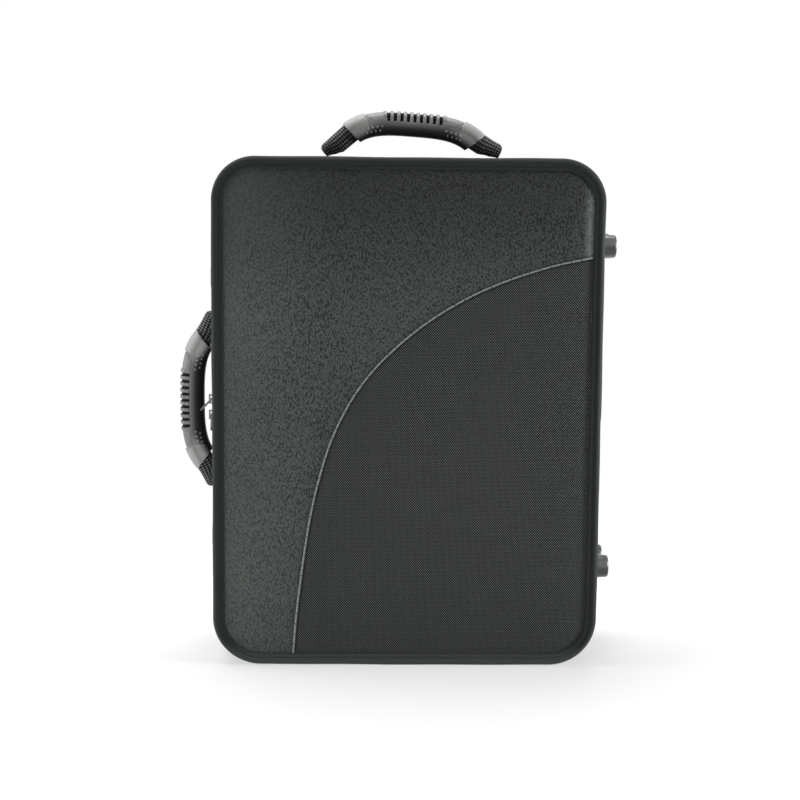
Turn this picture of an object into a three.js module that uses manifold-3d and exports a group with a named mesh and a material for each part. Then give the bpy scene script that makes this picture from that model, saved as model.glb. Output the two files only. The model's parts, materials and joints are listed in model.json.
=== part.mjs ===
// A double clarinet case: a padded base and a padded lid joined by a zip and a fabric hinge.
// The case stands on its short end. X runs to the right, Y away from the lid's face, Z up.
// The origin is the middle of the bounding box's underside. All lengths are in millimetres.

import * as THREE from 'three';
import { mergeVertices } from 'three/addons/utils/BufferGeometryUtils.js';
import Module from 'manifold-3d';

const wasm = await Module();
wasm.setup();

// The case as a whole, over its binding
const caseWidth = 304;
const caseHeight = 400;
const caseDepth = 114;
const lidDepth = 36;
const topCornerRadius = 34;
const bottomCornerRadius = 38;
const cornerSteps = 7;
const weld = 1e-4;
const seat = 0.3;
const overrun = 20;

// Layers of the wall, from the outside in
const bindingProud = 2;
const coverThickness = 1.2;
const shellThickness = 4;
const liningThickness = 4;

// Padded panels and the boards behind them
const lidCrown = 3.6;
const backCrown = 2.4;
const panelThickness = 2.2;
const boardThickness = 3;
const leatherFold = 0.7;
const panelTuck = 0.6;

// Binding tape folded over the edges
const bindingThickness = 1.4;
const bindingFaceWidth = 9.2;
const bindingWallWidth = 7;
const bindingRounding = 1.8;

// Zip round the left, top and bottom walls
const zipGap = 0.3;
const teethWidth = 1.9;
const teethThickness = 1.5;
const zipTapeWidth = 6;
const zipTapeThickness = 0.8;
const zipEndInset = 88;
const zipMeetingHeight = 202;

// Fabric hinge on the right wall
const hingeStripWidth = 8;
const hingeStripThickness = 0.9;

// Feet on the right wall
const footRadius = 10;
const footTipRadius = 9.2;
const footHeight = 17;
const footEdge = 1.5;
const footInset = 69;
const footClearance = 0.6;
const screwRadius = 2;
const screwHeadRadius = 3.8;
const screwHeadHeight = 2.4;
const screwClearance = 0.3;
const counterboreDepth = 4;
const footSides = 20;
const screwSides = 12;

// Carrying handles
const handleBackShare = 0.577;
const topHandleX = 4;
const sideHandleRise = 2.2;
const topHandleReach = 38.7;
const sideHandleReach = 35;
const topGripTilt = 4;
const gripHalfLength = 54;
const gripEndAngle = 43;
const gripBend = 2.4;
const gripHalfThickness = 8.4;
const gripInnerThickness = 10.6;
const gripBelly = 1.5;
const gripHalfWidth = 12;
const gripPadRise = 1;
const gripCollarShare = 0.76;
const gripOvalPower = 0.75;
const ribRise = 0.9;
const slotCount = 9;
const slotPitch = 5.2;
const slotWidth = 2.4;
const slotDepth = 2.4;
const slotEdge = 0.25;
const gripSides = 12;
const sleeveRadius = 5;
const sleeveMouthRadius = 7.7;
const sleeveSides = 12;
const sleeveSteps = 5;
const rootHalfSpan = 66.8;
const anchorLength = 36;
const anchorWidth = 24;
const anchorThickness = 1.6;
const anchorCorner = 4;
const anchorCornerSteps = 3;
const rivetRadius = 3.2;
const rivetHeight = 0.8;
const rivetSpread = 13.6;

// Rings for a strap on the left wall
const ringGap = 11.7;
const ringSetback = 22;
const ringWire = 1.5;
const ringHalfWidth = 11;
const ringReach = 12.5;
const ringTilt = 6;
const ringCorner = 6;
const ringCornerSteps = 4;
const ringWireSides = 8;
const tabWidth = 17;
const tabFoldSteps = 6;
const tabThickness = 1.3;
const tabLength = 22;

// Zip sliders and their pulls
const sliderLength = 12;
const sliderWidth = 10;
const sliderNoseWidth = 5;
const sliderThickness = 1.4;
const sliderLip = 0.5;
const bailWidth = 2.8;
const bailHollow = 2.6;
const bailLength = 5;
const bailMetal = 1.2;
const pullWidth = 7;
const pullLength = 13;
const pullThickness = 1.6;
const pullRoundSteps = 5;
const pullSlotWidth = 3.8;
const pullSlotLength = 4.1;
const pullHoleWidth = 2.6;
const pullHoleLength = 3.4;
const upperPullDroop = 45;
const lowerPullDroop = 88;

// Compartments in the base
const laneCount = 6;
const lowerJointLane = 44;
const upperJointLane = 38;
const laneDepth = 43;
const dividerDrop = 4;
const dividerThickness = 8;
const bellBay = 83;
const swabBay = 48;
const crossWallThickness = 7;
const bellBedThickness = 2;
const barrelBay = 168;
const stopThickness = 8;

// Lid lining and its pocket
const lidLiningThickness = 8;
const pocketWidth = 190;
const pocketHeight = 250;
const pocketDepth = 6.4;
const pocketSheet = 1.4;
const pocketEdge = 4;

// Places worked out from the sizes above
const halfWidth = caseWidth / 2;
const halfDepth = caseDepth / 2;
const middleHeight = caseHeight / 2;
const splitY = lidDepth - halfDepth;
const lidRimY = lidCrown - halfDepth;
const backRimY = halfDepth - backCrown;
const wallX = halfWidth - bindingProud;
const coverInner = bindingProud + coverThickness;
const shellOuter = coverInner + seat;
const shellInner = shellOuter + shellThickness;
const liningOuter = shellInner + seat;
const liningInner = liningOuter + liningThickness;
const lidBoardY = lidRimY + panelThickness + seat;
const lidBoardInnerY = lidBoardY + boardThickness;
const backBoardY = backRimY - panelThickness - seat;
const backBoardInnerY = backBoardY - boardThickness;
const sideHandleWallX = -wallX;
const topHandleWallZ = caseHeight - bindingProud;
const handleY = splitY + handleBackShare * (caseDepth - lidDepth);
const ringY = splitY + ringSetback;
const ringHalfSpan = rootHalfSpan + anchorLength / 2 + ringGap + tabWidth / 2;
const zipReach = zipGap / 2 + teethWidth + seat + zipTapeWidth;
const footFrontY = splitY + zipReach + footClearance + footRadius;
const footRearY = backRimY - bindingWallWidth - footClearance - footRadius;

// Colours and finishes
const finishes = {
  leather: { color: 0x3a3e3b, roughness: 0.55, metalness: 0 },
  nylon: { color: 0x34383a, roughness: 0.85, metalness: 0 },
  binding: { color: 0x26292a, roughness: 0.8, metalness: 0 },
  grip: { color: 0x6d706d, roughness: 0.6, metalness: 0 },
  mesh: { color: 0x232625, roughness: 0.85, metalness: 0 },
  metal: { color: 0x8b8d8e, roughness: 0.25, metalness: 1 },
  gloss: { color: 0x0e0f10, roughness: 0.15, metalness: 0 },
  plush: { color: 0x1d1f24, roughness: 0.95, metalness: 0 },
  board: { color: 0x8a7a5e, roughness: 0.8, metalness: 0 },
  webbing: { color: 0x1f2122, roughness: 0.85, metalness: 0 },
};

function material(name) {
  return new THREE.MeshStandardMaterial(finishes[name]);
}

function piece(name, geometry, finish) {
  const mesh = new THREE.Mesh(geometry, material(finish));
  mesh.name = name;
  return mesh;
}

// A closed surface from flat lists of corner numbers and points, turned so that it faces out
function closedGeometry(points, triangles) {
  let volume = 0;
  const cross = new THREE.Vector3();
  for (const [a, b, c] of triangles) {
    volume += points[a].dot(cross.crossVectors(points[b], points[c]));
  }
  const order = volume < 0 ? triangles.map(([a, b, c]) => [a, c, b]) : triangles;
  const geometry = new THREE.BufferGeometry();
  geometry.setAttribute('position', new THREE.Float32BufferAttribute(points.flatMap((p) => p.toArray()), 3));
  geometry.setIndex(order.flat());
  geometry.computeVertexNormals();
  return geometry;
}

function middleOf(loop) {
  return loop.reduce((sum, p) => sum.add(p), new THREE.Vector3()).divideScalar(loop.length);
}

// A skin through closed loops of equal length. With ring set, the last loop joins the first;
// otherwise each end is closed by a fan about its middle, the last one about endTip if it is given.
function skin(loops, { ring = false, endTip = null } = {}) {
  const size = loops[0].length;
  const points = loops.flat();
  const triangles = [];
  const spans = ring ? loops.length : loops.length - 1;
  for (let row = 0; row < spans; row += 1) {
    const here = row * size;
    const next = ((row + 1) % loops.length) * size;
    for (let i = 0; i < size; i += 1) {
      const j = (i + 1) % size;
      triangles.push([here + i, here + j, next + j], [here + i, next + j, next + i]);
    }
  }
  if (!ring) {
    const last = (loops.length - 1) * size;
    const start = points.push(middleOf(loops[0])) - 1;
    const end = points.push(endTip ?? middleOf(loops[loops.length - 1])) - 1;
    for (let i = 0; i < size; i += 1) {
      const j = (i + 1) % size;
      triangles.push([start, j, i], [end, last + i, last + j]);
    }
  }
  return closedGeometry(points, triangles);
}

function toSolid(geometry) {
  const bare = geometry.clone();
  bare.deleteAttribute('normal');
  bare.deleteAttribute('uv');
  const merged = mergeVertices(bare, weld);
  const vertProperties = new Float32Array(merged.attributes.position.array);
  const triVerts = new Uint32Array(merged.index.array);
  return new wasm.Manifold(new wasm.Mesh({ numProp: 3, vertProperties, triVerts }));
}

function toGeometry(solid) {
  const mesh = solid.getMesh();
  const geometry = new THREE.BufferGeometry();
  geometry.setAttribute('position', new THREE.BufferAttribute(new Float32Array(mesh.vertProperties), 3));
  geometry.setIndex(new THREE.BufferAttribute(new Uint32Array(mesh.triVerts), 1));
  geometry.computeVertexNormals();
  return geometry;
}

function cut(geometry, ...tools) {
  return toGeometry(tools.reduce((solid, tool) => solid.subtract(toSolid(tool)), toSolid(geometry)));
}

function join(...shapes) {
  const solids = shapes.map(toSolid);
  return toGeometry(solids.slice(1).reduce((solid, other) => solid.add(other), solids[0]));
}

function overlapOf(geometry, other) {
  return toGeometry(toSolid(geometry).intersect(toSolid(other)));
}

function block(x0, x1, y0, y1, z0, z1) {
  const box = new THREE.BoxGeometry(x1 - x0, y1 - y0, z1 - z0);
  return box.translate((x0 + x1) / 2, (y0 + y1) / 2, (z0 + z1) / 2);
}

// The case's outline in X and Z, drawn in from the outermost edge by an inset
function outline(inset) {
  const corners = [
    [1, 1, topCornerRadius, 0],
    [-1, 1, topCornerRadius, 1],
    [-1, -1, bottomCornerRadius, 2],
    [1, -1, bottomCornerRadius, 3],
  ];
  return corners.flatMap(([sideX, sideZ, radius, quarter]) => {
    const centreX = sideX * (halfWidth - radius);
    const centreZ = sideZ > 0 ? caseHeight - radius : radius;
    return Array.from({ length: cornerSteps + 1 }, (_, i) => {
      const angle = (quarter + i / cornerSteps) * Math.PI / 2;
      return [centreX + (radius - inset) * Math.cos(angle), centreZ + (radius - inset) * Math.sin(angle)];
    });
  });
}

function rim(inset, y) {
  return outline(inset).map(([x, z]) => new THREE.Vector3(x, y, z));
}

// A loop drawn towards the middle of the case by a share of its size
function shrunk(loop, share, y) {
  return loop.map((p) => new THREE.Vector3(p.x * share, y, middleHeight + (p.z - middleHeight) * share));
}

// A ring round the case with a closed section of [inset, y] corners
function rimRing(section) {
  return skin(section.map(([inset, y]) => rim(inset, y)), { ring: true });
}

function rectangle(inset0, inset1, y0, y1) {
  return [[inset0, y0], [inset1, y0], [inset1, y1], [inset0, y1]];
}

function slab(inset, y0, y1) {
  return skin([rim(inset, y0), rim(inset, y1)]);
}

// A padded panel, drawn in under the binding and crowned between its edges
function paddedPanel(rimY, crown, outward, fold) {
  const outer = bindingProud + panelTuck;
  const clear = bindingFaceWidth + seat;
  const face = rim(clear, rimY);
  const top = crown * outward;
  const lift = fold * outward;
  const crownShares = [[0.985, 0.32], [0.955, 0.6], [0.88, 0.82], [0.66, 0.94], [0.36, 0.985]];
  const loops = [rim(outer, rimY - panelThickness * outward), rim(outer, rimY), face];
  for (const [sizeShare, riseShare] of crownShares) {
    loops.push(shrunk(face, sizeShare, rimY + (top - lift) * riseShare + lift));
  }
  return skin(loops, { endTip: new THREE.Vector3(0, rimY + top, middleHeight) });
}

// The seam between leather and nylon, as shares of the case's width and height
const seamShares = [
  [0.53, 0.822], [0.469, 0.8085], [0.379, 0.794], [0.288, 0.773], [0.2, 0.747], [0.119, 0.715],
  [0.041, 0.676], [-0.031, 0.63], [-0.096, 0.578], [-0.149, 0.518], [-0.19, 0.452], [-0.219, 0.382],
  [-0.241, 0.311], [-0.257, 0.238], [-0.27, 0.164], [-0.281, 0.09], [-0.293, -0.03],
];

// The region above and to the left of the seam, moved down and to the right by a gap
function leatherRegion(gap) {
  const shape = new THREE.Shape();
  const seam = seamShares.map(([x, z]) => [x * caseWidth + gap, z * caseHeight - gap]);
  shape.moveTo(-halfWidth - overrun, seam[seam.length - 1][1]);
  shape.lineTo(-halfWidth - overrun, caseHeight + overrun);
  shape.lineTo(seam[0][0], caseHeight + overrun);
  seam.forEach(([x, z]) => shape.lineTo(x, z));
  const prism = new THREE.ExtrudeGeometry(shape, { depth: lidDepth, bevelEnabled: false });
  return prism.rotateX(Math.PI / 2).translate(0, splitY - seat, 0);
}

function leatherPanel() {
  return overlapOf(paddedPanel(lidRimY, lidCrown, -1, leatherFold), leatherRegion(0));
}

function nylonPanel() {
  return cut(paddedPanel(lidRimY, lidCrown - leatherFold, -1, 0), leatherRegion(seat));
}

// Tape folded over the edge between a panel and the wall, with a rounded outer corner
function binding(rimY, outward) {
  const under = rimY + seat * outward;
  const over = under + bindingThickness * outward;
  const inner = bindingProud - seat;
  const wallEnd = rimY - bindingWallWidth * outward;
  return rimRing([
    [bindingFaceWidth, under], [bindingFaceWidth, over - seat * outward], [bindingRounding + inner, over],
    [bindingRounding / 2, over - bindingRounding / 3 * outward], [0, over - bindingRounding * outward],
    [0, wallEnd], [inner, wallEnd], [inner, under],
  ]);
}

// The run of the zip, from the right wall over the top, down the left side and along the bottom
function zipRun(inset) {
  const wall = halfWidth - inset;
  return [[wall, caseHeight - zipEndInset], ...outline(inset), [wall, zipEndInset]];
}

function zipBand(section) {
  const rows = section.map(([inset, y]) => zipRun(inset).map(([x, z]) => new THREE.Vector3(x, y, z)));
  return skin(rows[0].map((_, station) => rows.map((row) => row[station])));
}

function teeth(side) {
  const near = splitY + zipGap / 2 * side;
  const outer = bindingProud - seat;
  return zipBand(rectangle(outer - teethThickness, outer, near, near + teethWidth * side));
}

function zipTape(side) {
  const near = splitY + (zipGap / 2 + teethWidth + seat) * side;
  const outer = bindingProud - seat - zipTapeThickness;
  return zipBand(rectangle(outer, bindingProud - seat, near, near + zipTapeWidth * side));
}

function hingeStrip(side) {
  const near = splitY + zipGap / 2 * side;
  const far = near + hingeStripWidth * side;
  const low = zipEndInset + seat;
  const inner = wallX + seat;
  const outer = inner + hingeStripThickness;
  return block(inner, outer, Math.min(near, far), Math.max(near, far), low, caseHeight - low);
}

// Holes for the foot screws, through everything on the right wall
const footHeights = [footInset, caseHeight - footInset];
const footPlaces = footHeights.flatMap((z) => [[footFrontY, z], [footRearY, z]]);

function screwHoles() {
  return footPlaces.map(([y, z]) => {
    const hole = new THREE.CylinderGeometry(
      screwRadius + screwClearance, screwRadius + screwClearance, 2 * overrun, screwSides,
    );
    return hole.rotateZ(Math.PI / 2).translate(wallX, y, z);
  });
}

// A turned solid whose axis is X, from [radius, distance along X] corners
function turned(profile, sides) {
  const lathe = new THREE.LatheGeometry(profile.map(([r, h]) => new THREE.Vector2(r, h)), sides);
  lathe.rotateZ(-Math.PI / 2);
  const bare = new THREE.BufferGeometry();
  bare.setAttribute('position', lathe.attributes.position);
  bare.setIndex(lathe.index);
  const merged = mergeVertices(bare, weld);
  const at = merged.attributes.position;
  const points = Array.from({ length: at.count }, (_, i) => new THREE.Vector3().fromBufferAttribute(at, i));
  const index = merged.index.array;
  const triangles = Array.from({ length: index.length / 3 }, (_, i) => [...index.slice(3 * i, 3 * i + 3)]);
  return closedGeometry(points, triangles.filter(([a, b, c]) => a !== b && b !== c && c !== a));
}

function foot() {
  const bore = screwRadius + screwClearance;
  const socket = screwHeadRadius + screwClearance;
  const shelf = footHeight - counterboreDepth;
  return turned([
    [bore, 0], [footRadius, 0],
    [footTipRadius, footHeight - footEdge], [footTipRadius - footEdge, footHeight],
    [socket, footHeight], [socket, shelf], [bore, shelf], [bore, 0],
  ], footSides);
}

function footScrew() {
  const headSeat = footHeight - counterboreDepth + seat;
  const tip = -(coverThickness + shellThickness + seat);
  return turned([
    [0, tip], [screwRadius, tip], [screwRadius, headSeat], [screwHeadRadius, headSeat],
    [screwHeadRadius, headSeat + screwHeadHeight / 2], [screwHeadRadius / 2, headSeat + screwHeadHeight],
    [0, headSeat + screwHeadHeight],
  ], screwSides);
}

// A handle in its own frame: X along the wall, Z out of the wall, with the middle of its foot at zero

const axisHeight = anchorThickness + sleeveRadius + 2 * seat;

// Stations along the grip: place along the arc from -1 to 1, and how deep the section is cut
function gripStations() {
  const endShares = [1, 0.9, 0.78, 0.74, 0.6, 0.54];
  const list = endShares.map((at) => [-at, 0]);
  const half = slotWidth / 2;
  for (let i = 0; i < slotCount; i += 1) {
    const middle = (i - (slotCount - 1) / 2) * slotPitch;
    for (const [offset, depth] of [[-half - slotEdge, 0], [-half, 1], [half, 1], [half + slotEdge, 0]]) {
      list.push([(middle + offset) / gripHalfLength, depth]);
    }
  }
  return [...list, ...endShares.map((at) => [at, 0]).reverse()];
}

// The point and the turn of the grip's middle line at a place from -1 to 1
function gripLine(at) {
  const steps = 24;
  let along = 0;
  let drop = 0;
  for (let i = 0; i < steps; i += 1) {
    const share = (i + 0.5) / steps * Math.abs(at);
    const angle = THREE.MathUtils.degToRad(gripEndAngle) * share ** gripBend;
    along += Math.cos(angle) * gripHalfLength * Math.abs(at) / steps;
    drop += Math.sin(angle) * gripHalfLength * Math.abs(at) / steps;
  }
  const turn = THREE.MathUtils.degToRad(gripEndAngle) * Math.abs(at) ** gripBend * Math.sign(at);
  return { x: along * Math.sign(at), drop, turn };
}

// One oval section of the grip, fuller towards the wall: collars at the ends, ribs and slots in the middle
function gripSection(at, depth, apex) {
  const { x, drop, turn } = gripLine(at);
  const ribbed = Math.abs(at) * gripHalfLength < slotCount / 2 * slotPitch + slotEdge;
  const collar = Math.abs(at) > gripCollarShare ? gripPadRise : 0;
  const inner = gripInnerThickness + gripBelly * (1 - at * at);
  const loop = [];
  for (let i = 0; i < gripSides; i += 1) {
    const angle = (i + 0.5) / gripSides * 2 * Math.PI;
    const sine = Math.sin(angle);
    const cosine = Math.cos(angle);
    const across = gripHalfWidth * Math.sign(cosine) * Math.abs(cosine) ** gripOvalPower;
    let out = Math.abs(sine) ** gripOvalPower * (sine > 0 ? gripHalfThickness : -inner);
    if (sine > 0) out += collar * sine;
    if (sine > 0 && ribbed) out += (ribRise - depth * slotDepth) * sine;
    loop.push(new THREE.Vector3(x + out * Math.sin(turn), across, apex - drop + out * Math.cos(turn)));
  }
  return loop;
}

// The grip sits askew in its sleeves: a turn about the middle of the root line
function askew(point, tilt) {
  const pivot = new THREE.Vector3(0, 0, axisHeight);
  const angle = THREE.MathUtils.degToRad(tilt);
  return point.sub(pivot).applyAxisAngle(new THREE.Vector3(0, 1, 0), angle).add(pivot);
}

function grip(apex, tilt) {
  const loops = gripStations().map(([at, depth]) => gripSection(at, depth, apex));
  return skin(loops.map((loop) => loop.map((point) => askew(point, tilt))));
}

// A mesh sleeve from the grip's end to a ball that turns on the root line
function sleeve(apex, side, tilt) {
  const end = gripLine(side);
  const heading = new THREE.Vector3(Math.cos(end.turn), 0, -Math.sin(end.turn)).multiplyScalar(side);
  const face = new THREE.Vector3(end.x, 0, apex - end.drop);
  const start = askew(face.clone().addScaledVector(heading, seat), tilt);
  heading.applyAxisAngle(new THREE.Vector3(0, 1, 0), THREE.MathUtils.degToRad(tilt));
  const root = new THREE.Vector3(side * rootHalfSpan, 0, axisHeight);
  const bend = start.clone().addScaledVector(heading, start.distanceTo(root) / 2);
  const path = new THREE.QuadraticBezierCurve3(start, bend, root);
  const loops = [];
  for (let i = 0; i <= sleeveSteps; i += 1) {
    const share = i / sleeveSteps;
    const radius = sleeveRadius + (sleeveMouthRadius - sleeveRadius) * (1 - share);
    loops.push(sleeveRing(path.getPoint(share), path.getTangent(share), radius, side));
  }
  const last = path.getTangent(1);
  for (const angle of [Math.PI / 8, Math.PI / 4, 3 * Math.PI / 8]) {
    const centre = root.clone().addScaledVector(last, sleeveRadius * Math.sin(angle));
    loops.push(sleeveRing(centre, last, sleeveRadius * Math.cos(angle), side));
  }
  return skin(loops, { endTip: root.clone().addScaledVector(last, sleeveRadius) });
}

function sleeveRing(centre, tangent, radius, side) {
  const across = new THREE.Vector3(0, side, 0);
  const out = new THREE.Vector3().crossVectors(tangent, across).normalize();
  return Array.from({ length: sleeveSides }, (_, i) => {
    const angle = i / sleeveSides * 2 * Math.PI;
    const point = centre.clone().addScaledVector(across, radius * Math.cos(angle));
    return point.addScaledVector(out, radius * Math.sin(angle));
  });
}

// A stitched webbing patch with two rivets
function anchor() {
  const quarter = Math.PI / 2;
  const corner = [anchorLength / 2 - anchorCorner, anchorWidth / 2 - anchorCorner];
  const shape = new THREE.Shape();
  [[1, 1], [-1, 1], [-1, -1], [1, -1]].forEach(([sideX, sideY], i) => {
    const [x, y] = [sideX * corner[0], sideY * corner[1]];
    shape.absarc(x, y, anchorCorner, i * quarter, (i + 1) * quarter);
  });
  const patch = new THREE.ExtrudeGeometry(shape, {
    depth: anchorThickness, bevelEnabled: false, curveSegments: anchorCornerSteps,
  });
  const rivets = [-rivetSpread, rivetSpread].map((x) => {
    const height = anchorThickness + rivetHeight;
    const rivet = new THREE.CylinderGeometry(rivetRadius, rivetRadius, height, screwSides);
    return rivet.rotateX(Math.PI / 2).translate(x, 0, height / 2 + seat);
  });
  return join(patch, ...rivets).translate(0, 0, seat);
}

function handle(name, ends, reach, tilt) {
  const group = new THREE.Group();
  const apex = reach - gripHalfThickness - ribRise;
  group.add(piece(`${name}_grip`, grip(apex, tilt), 'grip'));
  for (const [end, side] of [[ends[0], -1], [ends[1], 1]]) {
    const patch = piece(`${name}_anchor_${end}`, anchor(), 'webbing');
    patch.position.x = side * rootHalfSpan;
    group.add(patch, piece(`${name}_sleeve_${end}`, sleeve(apex, side, tilt), 'mesh'));
  }
  return group;
}

function topHandle() {
  const group = handle('top', ['left', 'right'], topHandleReach, topGripTilt);
  group.position.set(topHandleX, handleY, topHandleWallZ);
  return group;
}

function sideHandle() {
  const group = handle('side', ['lower', 'upper'], sideHandleReach, 0);
  group.rotation.y = -Math.PI / 2;
  group.position.set(sideHandleWallX, handleY, middleHeight + sideHandleRise);
  return group;
}

// A strap ring of bent wire. Its straight bar lies on the Z axis and its bow reaches towards -Y.
function strapRing() {
  const bow = ringReach - ringCorner;
  const side = ringHalfWidth - ringCorner;
  const corners = [
    [-ringCorner / 2, -side - ringCorner / 2, ringCorner / 2, 0], [-bow, -side, ringCorner, 1],
    [-bow, side, ringCorner, 2], [-ringCorner / 2, side + ringCorner / 2, ringCorner / 2, 3],
  ];
  const count = { length: ringCornerSteps + 1 };
  const stations = corners.flatMap(([y, z, radius, quarter]) => Array.from(count, (_, i) => {
    const angle = (quarter + i / ringCornerSteps) * Math.PI / 2;
    const out = [Math.cos(angle), -Math.sin(angle)];
    return { y: y + radius * out[0], z: z + radius * out[1], out };
  }));
  return skin(stations.map(({ y, z, out }) => Array.from({ length: ringWireSides }, (_, i) => {
    const angle = (i + 0.5) / ringWireSides * 2 * Math.PI;
    const offset = ringWire * Math.cos(angle);
    return new THREE.Vector3(ringWire * Math.sin(angle), y + offset * out[0], z + offset * out[1]);
  })), { ring: true });
}

// Webbing folded round the ring's bar and sewn to the wall
function ringTab() {
  const hole = ringWire + seat;
  const round = hole + tabThickness;
  const shape = new THREE.Shape();
  shape.absarc(0, 0, round, Math.PI / 2, 2 * Math.PI, false);
  shape.lineTo(round, tabLength);
  shape.lineTo(round - 2 * tabThickness, tabLength);
  shape.lineTo(round - 2 * tabThickness, round);
  const gap = new THREE.Path();
  gap.absarc(0, 0, hole, 0, 2 * Math.PI, true);
  shape.holes.push(gap);
  const solid = { depth: tabWidth, bevelEnabled: false, curveSegments: tabFoldSteps };
  const tab = new THREE.ExtrudeGeometry(shape, solid);
  return tab.translate(0, 0, -tabWidth / 2);
}

function ringSet(place, z) {
  const group = new THREE.Group();
  const ring = piece(`ring_${place}`, strapRing(), 'metal');
  ring.rotation.z = -THREE.MathUtils.degToRad(ringTilt);
  group.add(ring, piece(`ring_tab_${place}`, ringTab(), 'webbing'));
  group.position.set(-wallX - 2 * seat - ringWire - tabThickness, ringY, z);
  return group;
}

// A slider in its own frame: Z along the zip, -X out of the wall, with its underside at zero
function slider() {
  const half = sliderLength / 2;
  const wide = sliderWidth / 2;
  const nose = sliderNoseWidth / 2;
  const plan = new THREE.Shape();
  plan.moveTo(-wide, -half);
  plan.lineTo(wide, -half);
  plan.lineTo(wide, 0);
  plan.lineTo(nose, half);
  plan.lineTo(-nose, half);
  plan.lineTo(-wide, 0);
  const plate = new THREE.ExtrudeGeometry(plan, { depth: sliderThickness, bevelEnabled: false });
  plate.rotateX(Math.PI / 2).rotateZ(Math.PI / 2).translate(-sliderThickness, 0, 0);
  const height = sliderThickness + bailHollow + bailMetal;
  const reach = bailLength / 2 + bailMetal;
  const arch = block(-height, -sliderLip, -bailWidth / 2, bailWidth / 2, -reach, reach);
  const hollow = block(
    -sliderThickness - bailHollow, -sliderThickness, -bailWidth, bailWidth, -bailLength / 2, bailLength / 2,
  );
  return join(plate, cut(arch, hollow));
}

// A pull in its own frame: Y across, -X along the tab, with the middle of its end bar at zero
function pull() {
  const half = pullThickness / 2;
  const wide = pullWidth / 2;
  const shape = new THREE.Shape();
  shape.moveTo(-half, -wide);
  shape.lineTo(pullLength - wide, -wide);
  shape.absarc(pullLength - wide, 0, wide, -Math.PI / 2, Math.PI / 2, false);
  shape.lineTo(-half, wide);
  const slotEnd = half + pullSlotLength;
  const across = pullSlotWidth / 2;
  shape.holes.push(new THREE.Path([
    new THREE.Vector2(half, -across), new THREE.Vector2(half, across),
    new THREE.Vector2(slotEnd, across), new THREE.Vector2(slotEnd, -across),
  ]));
  const grab = new THREE.Path();
  const first = pullLength - half - pullHoleLength;
  grab.absellipse(first + pullHoleLength / 2, 0, pullHoleLength / 2, pullHoleWidth / 2, 0, 2 * Math.PI, true);
  shape.holes.push(grab);
  const solid = { depth: pullThickness, bevelEnabled: false, curveSegments: pullRoundSteps };
  const tab = new THREE.ExtrudeGeometry(shape, solid);
  return tab.translate(0, 0, -half).rotateZ(Math.PI);
}

function sliderSet(place, side, droop) {
  const group = new THREE.Group();
  const body = piece(`zip_slider_${place}`, slider(), 'metal');
  if (side < 0) body.rotation.x = Math.PI;
  const tab = piece(`zip_pull_${place}`, pull(), 'metal');
  tab.position.x = -sliderThickness - bailHollow / 2;
  tab.rotation.y = -THREE.MathUtils.degToRad(droop);
  group.add(body, tab);
  const teethTop = halfWidth - bindingProud + seat + teethThickness;
  group.position.set(-teethTop - seat, splitY, zipMeetingHeight + side * (sliderLength / 2 + seat));
  return group;
}

// Foam floors and walls of the compartments
const innerLeft = -halfWidth + liningInner + seat;
const innerRight = -innerLeft;
const innerLow = liningInner + seat;
const innerHigh = caseHeight - innerLow;
const bedBackY = backBoardInnerY - seat;
const dividerTopY = splitY + dividerDrop;
const jointBedY = dividerTopY + laneDepth;
const crossWallHigh = innerHigh - bellBay;
const crossWallLow = crossWallHigh - crossWallThickness;
const laneHigh = crossWallLow - seat;
const lanesWidth = innerRight - innerLeft - (laneCount - 1) * dividerThickness;
const barrelLane = lanesWidth / 2 - lowerJointLane - upperJointLane;
const laneWidths = [lowerJointLane, upperJointLane, barrelLane, barrelLane, upperJointLane, lowerJointLane];
const bellBayWidth = (innerRight - innerLeft - swabBay) / 2 - dividerThickness;

function floorPiece(y0, z0, z1) {
  return overlapOf(
    slab(liningInner + seat, y0, bedBackY),
    block(-halfWidth, halfWidth, y0 - seat, bedBackY + seat, z0, z1),
  );
}

function compartments(base) {
  const bellFloorY = bedBackY - bellBedThickness;
  base.add(piece('joint_bed', floorPiece(jointBedY, innerLow - overrun, laneHigh), 'plush'));
  base.add(piece('bell_bed', floorPiece(bellFloorY, crossWallHigh + seat, caseHeight), 'plush'));
  const crossWall = block(innerLeft, innerRight, dividerTopY, bedBackY, crossWallLow, crossWallHigh);
  base.add(piece('cross_wall', crossWall, 'plush'));
  let x = innerLeft;
  laneWidths.slice(0, -1).forEach((width, i) => {
    const left = x + width;
    const wall = block(left, left + dividerThickness, dividerTopY, jointBedY - seat, innerLow, laneHigh);
    base.add(piece(`lane_divider_${i + 1}`, wall, 'plush'));
    if (i === 2 || i === 3) {
      const from = left - width + seat;
      const low = innerLow + barrelBay;
      const stop = block(from, left - seat, dividerTopY, jointBedY - seat, low, low + stopThickness);
      base.add(piece(`barrel_stop_${i - 1}`, stop, 'plush'));
    }
    x = left + dividerThickness;
  });
  [1, 2].forEach((number) => {
    const left = innerLeft + number * bellBayWidth + (number - 1) * dividerThickness;
    const low = crossWallHigh + seat;
    const wall = block(left, left + dividerThickness, dividerTopY, bellFloorY - seat, low, innerHigh);
    base.add(piece(`bell_divider_${number}`, wall, 'plush'));
  });
}

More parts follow.
